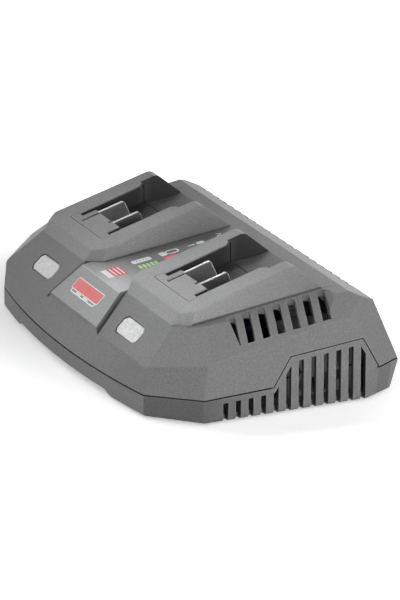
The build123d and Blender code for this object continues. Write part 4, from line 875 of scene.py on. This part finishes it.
def rounded_rectangle(centre: Point, size: Point, radius: float, steps: int = 5) -> list[Point]:
    """Outline of a rectangle with round corners, anticlockwise.

    Args:
        centre: its middle.
        size: its width and height.
        radius: corner radius.
        steps: segments in each corner.

    Returns:
        The outline's points.
    """
    half = (size[0] / 2 - radius, size[1] / 2 - radius)
    points = []
    for index, (side_x, side_y) in enumerate(((1, 1), (-1, 1), (-1, -1), (1, -1))):
        for step in range(steps + 1):
            angle = math.pi / 2 * (index + step / steps)
            points.append((centre[0] + side_x * half[0] + radius * math.cos(angle),
                           centre[1] + side_y * half[1] + radius * math.sin(angle)))
    return points


def arc_band(centre: Point, radius: float, width: float, start: float, end: float,
             steps: int = 16) -> list[Point]:
    """Outline of a curved stroke.

    Args:
        centre: middle of the curve.
        radius: radius of the stroke's middle line.
        width: width of the stroke.
        start: angle of its first end, in degrees.
        end: angle of its other end, in degrees.
        steps: segments along the stroke.

    Returns:
        The outline's points, out along the outer side and back along the inner one.
    """
    angles = [math.radians(start + (end - start) * step / steps) for step in range(steps + 1)]
    rims = ((radius + width / 2, angles), (radius - width / 2, angles[::-1]))
    return [(centre[0] + reach * math.cos(angle), centre[1] + reach * math.sin(angle))
            for reach, turns in rims for angle in turns]


@dataclass
class PrintedFilm:
    """Thin layer of ink or label film in one colour, as closed solids on one face."""

    name: str
    ink: Ink
    face: Surface
    thickness: float = FILM_MM
    sunk: float = 0.04
    patches: list[tuple[list[Point], list[Point]]] = field(default_factory=list)

    def patch(self, outline: Sequence[Point], hole: Sequence[Point] = ()) -> "PrintedFilm":
        """Add one area, which may have a hole with as many points as its outline."""
        self.patches.append((list(outline), list(hole)))
        return self

    def row(self, mark: "Mark", shifts: Sequence[float]) -> "PrintedFilm":
        """Add a block at each of several distances further back."""
        self.patches += [(mark.outline(shift), []) for shift in shifts]
        return self

    def build(self) -> bpy.types.Object:
        """Make the layer's mesh and dress it.

        Returns:
            The new object, riding on the housing.
        """
        mesh = bmesh.new()
        for outline, hole in self.patches:
            self.add_patch(mesh, outline, hole)
        bmesh.ops.recalc_face_normals(mesh, faces=mesh.faces)
        data = bpy.data.meshes.new(self.name)
        mesh.to_mesh(data)
        mesh.free()
        piece = bpy.data.objects.new(self.name, data)
        bpy.context.scene.collection.objects.link(piece)
        data.materials.append(self.ink.value.material())
        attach(piece, "housing")
        log.info("printed %s with %d patches", self.name, len(self.patches))
        return piece

    def add_patch(self, mesh: bmesh.types.BMesh, outline: list[Point], hole: list[Point]) -> None:
        """Raise one area from just under the face to the top of the film.

        Args:
            mesh: mesh that takes the area.
            outline: outer points.
            hole: points of its hole, or none.
        """
        rings = []
        for loop in (outline, hole):
            low = [mesh.verts.new(self.face.at(u, v, -self.sunk)) for u, v in loop]
            high = [mesh.verts.new(self.face.at(u, v, self.thickness)) for u, v in loop]
            rings.append((low, high))
            for index in range(len(loop)):
                after = (index + 1) % len(loop)
                mesh.faces.new((low[index], low[after], high[after], high[index]))
        (low, high), (hole_low, hole_high) = rings
        if not hole:
            mesh.faces.new(high)
            mesh.faces.new(list(reversed(low)))
            return
        for index in range(len(outline)):
            after = (index + 1) % len(outline)
            mesh.faces.new((high[index], high[after], hole_high[after], hole_high[index]))
            mesh.faces.new((low[after], low[index], hole_low[index], hole_low[after]))


def up_top_face(depth: float) -> float:
    """Distance up the top face of a place given by its depth."""
    return depth / math.cos(math.radians(TOP_SLOPE))


@dataclass(frozen=True)
class Mark:
    """Printed block with round corners, by its limits across and in depth on the top face."""

    across: Span
    depth: Span
    radius: float

    def outline(self, shift: float = 0.0) -> list[Point]:
        """Outline the block on the face.

        Args:
            shift: distance that the block stands further back.

        Returns:
            The outline's points.
        """
        low, high = (up_top_face(depth + shift) for depth in self.depth)
        return rounded_rectangle((sum(self.across) / 2, (low + high) / 2),
                                 (self.across[1] - self.across[0], high - low), self.radius)


@dataclass
class StatusMarks:
    """Printed charge symbols on the flat face between the bays, from the front to the rear."""

    full_cell: Mark = Mark((-11.5, -6.4), (41.3, 53.1), 1.6)
    cell_line: Mark = Mark((-9.3, -8.6), (44.0, 44.9), 0.2)
    cell_line_shifts: tuple[float, ...] = (0.0, 1.9, 3.8, 5.7)
    charge_bar: Mark = Mark((-2.6, 2.6), (41.9, 43.65), 0.3)
    charge_bar_shifts: tuple[float, ...] = (0.0, 2.45, 4.9, 7.35, 9.8)
    part_cell_tip: Mark = Mark((-12.1, -6.3), (58.7, 62.3), 0.5)
    part_cell: Mark = Mark((-12.2, -6.6), (62.5, 70.3), 1.9)
    part_cell_hole: Mark = Mark((-11.4, -7.4), (63.1, 69.3), 1.3)
    red_bar: Mark = Mark((-4.3, -0.6), (58.4, 67.1), 0.9)
    plug_pin: Mark = Mark((-10.5, -9.4), (76.4, 80.6), 0.3)
    plug_body: Mark = Mark((-12.5, -8.9), (82.1, 86.7), 1.4)
    arc_centre: Point = (-14.4, 97.2)
    arc_radius: float = 1.7
    arc_width: float = 0.9
    arc_angles: Span = (-40.0, 200.0)

    def build(self) -> list[bpy.types.Object]:
        """Print every symbol, one film for each colour."""
        films = (self.white(), self.green(), self.red(), self.dark())
        return [film.build() for film in films]

    def white(self) -> PrintedFilm:
        """Lay out the full cell, the part-full cell, the plug and the arc.

        Returns:
            The white film.
        """
        film = PrintedFilm("status_marks_white", Ink.WHITE, TOP_FACE)
        film.patch(self.full_cell.outline()).patch(self.part_cell_tip.outline())
        film.patch(self.part_cell.outline(), self.part_cell_hole.outline())
        film.patch(self.plug_pin.outline()).patch(self.plug_body.outline())
        across, depth = self.arc_centre
        return film.patch(arc_band((across, up_top_face(depth)), self.arc_radius,
                                   self.arc_width, *self.arc_angles))

    def green(self) -> PrintedFilm:
        """Row of charge bars."""
        film = PrintedFilm("charge_bars_green", Ink.GREEN, TOP_FACE)
        return film.row(self.charge_bar, self.charge_bar_shifts)

    def red(self) -> PrintedFilm:
        """Bar beside the part-full cell."""
        film = PrintedFilm("charge_bar_red", Ink.RED, TOP_FACE)
        return film.patch(self.red_bar.outline())

    def dark(self) -> PrintedFilm:
        """Broken line inside the full cell, over the white."""
        film = PrintedFilm("status_marks_dark", Ink.DARK, TOP_FACE, thickness=OVERPRINT_MM)
        return film.row(self.cell_line, self.cell_line_shifts)


@dataclass
class PlainLabels:
    """Colour blocks without wording on the raised panel and behind it.

    A block is given by its centre and size on the panel's face and its corner radius.
    """

    frame: Block = ((-1.4, 13.6), (35.4, 7.6), 0.5)
    block: Block = ((-1.4, 13.6), (34.4, 6.6), 0.3)
    bar: Block = ((-1.4, 8.9), (32.2, 2.7), 1.2)
    bar_hole: Block = ((-1.4, 8.9), (30.8, 1.3), 0.6)
    left_dash: Block = ((-7.4, 8.9), (6.4, 1.0), 0.3)
    right_dash: Block = ((2.4, 8.9), (6.4, 1.0), 0.3)
    label_head: Mark = Mark((-10.0, 3.3), (22.2, 25.6), 0.4)
    label_body: Mark = Mark((-10.4, 3.4), (25.8, 33.5), 0.4)
    stripe: Mark = Mark((-9.4, 2.4), (26.9, 27.7), 0.2)
    stripe_shifts: tuple[float, ...] = (0.0, 2.4, 4.7)

    def build(self) -> list[bpy.types.Object]:
        """Print the panel's blocks and the label behind the panel.

        Returns:
            The new objects.
        """
        block = rounded_rectangle(*self.block)
        white = PrintedFilm("panel_blocks_white", Ink.WHITE, PANEL_FACE)
        white.patch(rounded_rectangle(*self.frame), block)
        white.patch(rounded_rectangle(*self.bar), rounded_rectangle(*self.bar_hole))
        for dash in (self.left_dash, self.right_dash):
            white.patch(rounded_rectangle(*dash))
        red = PrintedFilm("panel_block_red", Ink.RED, PANEL_FACE).patch(block)
        head = PrintedFilm("label_white", Ink.WHITE, TOP_FACE).patch(self.label_head.outline())
        body = PrintedFilm("label_red", Ink.RED, TOP_FACE).patch(self.label_body.outline())
        stripes = PrintedFilm("label_stripes", Ink.WHITE, TOP_FACE, thickness=OVERPRINT_MM)
        stripes.row(self.stripe, self.stripe_shifts)
        return [film.build() for film in (white, red, head, body, stripes)]


@dataclass
class CarriedNodes:
    """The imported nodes, which keep their shapes and get their finishes."""

    nodes: dict[str, bpy.types.Object]

    def dress(self) -> None:
        """Give each node the finish that its material calls for."""
        for finish, names in FINISHED_NODES.items():
            for name in names:
                for slot in self.nodes[name].material_slots:
                    slot.material = finish.material()
                log.info("dressed %s in %s", name, finish.name)


@dataclass(frozen=True)
class Lamp:
    """Square soft lamp on a sphere around the point it is aimed at.

    Angles are in degrees, and distance, size and aim in metres.
    """

    name: str
    azimuth: float
    elevation: float
    distance: float
    size: float
    watts: float
    spread: float = 180.0
    aim: tuple[float, float, float] = (0.0, 0.0, 0.0)

    def build(self) -> bpy.types.Object:
        """Add the lamp and turn it towards its aim.

        Returns:
            The lamp's object.
        """
        data = bpy.data.lights.new(self.name, "AREA")
        data.size = self.size
        data.energy = self.watts
        data.spread = math.radians(self.spread)
        around, up = math.radians(self.azimuth), math.radians(self.elevation)
        away = Vector((math.cos(around) * math.cos(up), math.sin(around) * math.cos(up),
                       math.sin(up)))
        lamp = bpy.data.objects.new(self.name, data)
        lamp.location = Vector(self.aim) + away * self.distance
        lamp.rotation_euler = (-away).to_track_quat("-Z", "Y").to_euler()
        bpy.context.scene.collection.objects.link(lamp)
        return lamp


RIGHT_BAY = (0.09, -0.03, 0.05)

# Azimuths run anticlockwise from +X. The far walls give the even level, the near softboxes the
# fall-off along the casing, and the narrow accents lift the right bay.
LAMPS = (
    Lamp("right_wall", 0, 12, 3.0, 1.6, 32.4),
    Lamp("rear_left_wall", 135, 12, 3.0, 1.6, 23.1),
    Lamp("left_wall", 180, 12, 3.0, 1.6, 11.0),
    Lamp("front_left_wall", 225, 12, 3.0, 1.6, 10.3),
    Lamp("rear_softbox", 90, 42, 3.0, 1.6, 2.72),
    Lamp("right_softbox", 0, 30, 0.65, 0.35, 0.58),
    Lamp("rear_right_softbox", 45, 30, 0.65, 0.35, 0.77),
    Lamp("front_left_softbox", 225, 30, 0.65, 0.35, 0.525),
    Lamp("front_right_softbox", 315, 30, 0.65, 0.35, 0.317),
    Lamp("left_accent", 170, 50, 1.0, 0.12, 0.0321, 22.0, RIGHT_BAY),
    Lamp("front_left_accent", 215, 50, 1.0, 0.12, 0.0302, 22.0, RIGHT_BAY),
    Lamp("front_right_accent", 300, 50, 1.0, 0.12, 0.0244, 22.0, RIGHT_BAY),
)


@dataclass
class Studio:
    """Pale floor, soft lamps and the camera.

    The camera's target and distance are in mm, its angles in degrees and the rest in metres.
    The floor's glow rises over its reach, an oval ring around the object, to full white.
    """

    target: tuple[float, float, float] = (4.1, 77.7, 27.0)
    azimuth: float = 65.435
    elevation: float = 18.952
    roll: float = 0.09
    distance: float = 2413.0
    focal_mm: float = 255.24
    sensor_mm: float = 36.0
    far_clip: float = 20.0
    floor_size: float = 6.0
    floor_drop: float = 0.0002
    floor_glow: float = 0.42
    glow_oval: tuple[float, float, float] = (0.62, 1.0, 0.0)
    glow_reach: Span = (0.086, 0.165)

    def build(self) -> None:
        """Add the floor, the lamps, the world and the camera."""
        self.floor()
        self.lamps()
        self.world()
        self.camera()

    def floor(self) -> None:
        """Add a wide sheet of white paper that fades into the background."""
        size, level = self.floor_size, -self.floor_drop
        data = bpy.data.meshes.new("studio_floor")
        sheet = [(-size, -size, level), (size, -size, level), (size, size, level),
                 (-size, size, level)]
        data.from_pydata(sheet, [], [(0, 1, 2, 3)])
        floor = bpy.data.objects.new("studio_floor", data)
        bpy.context.scene.collection.objects.link(floor)
        data.materials.append(self.paper())

    def paper(self) -> bpy.types.Material:
        """Make matt white paper that reads as pure white where nothing shades it.

        Returns:
            The paper's material.
        """
        material = bpy.data.materials.new("matt_white_paper")
        material.use_nodes = True
        tree = material.node_tree
        tree.nodes.clear()
        matt = add_node(tree, "BsdfDiffuse", Color=linear("f5f5f5"))
        where = add_node(tree, "TexCoord")
        oval = add_node(tree, "Mapping", Vector=where.outputs["Object"], Scale=self.glow_oval)
        reach = add_node(tree, "VectorMath", {"operation": "LENGTH"}, in0=oval.outputs[0])
        level = add_node(tree, "MapRange", {"interpolation_type": "SMOOTHSTEP"},
                         Value=reach.outputs["Value"], From_Min=self.glow_reach[0],
                         From_Max=self.glow_reach[1], To_Min=self.floor_glow, To_Max=1.0)
        glow = add_node(tree, "Emission", Color=(1, 1, 1, 1), Strength=level.outputs[0])
        both = add_node(tree, "AddShader", in0=matt.outputs[0], in1=glow.outputs[0])
        mixed = add_node(tree, "MixShader", in0=self.seen_rays(tree), in1=matt.outputs[0],
                         in2=both.outputs[0])
        output = add_node(tree, "OutputMaterial")
        tree.links.new(mixed.outputs[0], output.inputs[0])
        return material

    def seen_rays(self, tree: Tree) -> Socket:
        """One for what the camera sees, straight on, in a gloss or through clear plastic."""
        rays = add_node(tree, "LightPath").outputs
        return MaskTree(tree).either(rays["Is Camera Ray"], rays["Is Glossy Ray"],
                                     rays["Is Transmission Ray"])

    def lamps(self) -> None:
        """Add every lamp."""
        for lamp in LAMPS:
            lamp.build()
        log.info("set up %d lamps", len(LAMPS))

    def world(self) -> None:
        """Make a world that looks white to the camera, in a gloss and through clear plastic.

        It gives no light.
        """
        world = bpy.data.worlds.new("studio")
        world.use_nodes = True
        tree = world.node_tree
        tree.nodes.clear()
        dark = add_node(tree, "Background", Color=(1, 1, 1, 1), Strength=0.0)
        white = add_node(tree, "Background", Color=(1, 1, 1, 1), Strength=1.0)
        mixed = add_node(tree, "MixShader", in0=self.seen_rays(tree), in1=dark.outputs[0],
                         in2=white.outputs[0])
        output = add_node(tree, "OutputWorld")
        tree.links.new(mixed.outputs[0], output.inputs[0])
        bpy.context.scene.world = world

    def camera(self) -> None:
        """Look down on the front right corner through a long lens."""
        data = bpy.data.cameras.new("studio_camera")
        data.sensor_width = self.sensor_mm
        data.lens = self.focal_mm
        data.clip_end = self.far_clip
        azimuth, elevation = math.radians(self.azimuth), math.radians(self.elevation)
        target = Vector((self.target[0], self.target[1] - MID_DEPTH, self.target[2])) * MM
        away = Vector((math.sin(azimuth) * math.cos(elevation),
                       -math.cos(azimuth) * math.cos(elevation), math.sin(elevation)))
        camera = bpy.data.objects.new("studio_camera", data)
        aim = (-away).to_track_quat("-Z", "Y").to_matrix().to_4x4()
        turn = Matrix.Rotation(math.radians(self.roll), 4, "Z")
        camera.matrix_world = Matrix.Translation(target + away * self.distance * MM) @ aim @ turn
        bpy.context.scene.collection.objects.link(camera)
        bpy.context.scene.camera = camera


def main() -> None:
    """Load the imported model, build every piece around it and set up the studio."""
    logging.basicConfig(level=logging.INFO, format="%(name)s: %(message)s")
    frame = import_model()
    bpy.context.scene.view_settings.view_transform = "Standard"
    CarriedNodes(frame["nodes"]).dress()
    StatusMarks().build()
    PlainLabels().build()
    Studio().build()


if __name__ == "__main__":
    main()
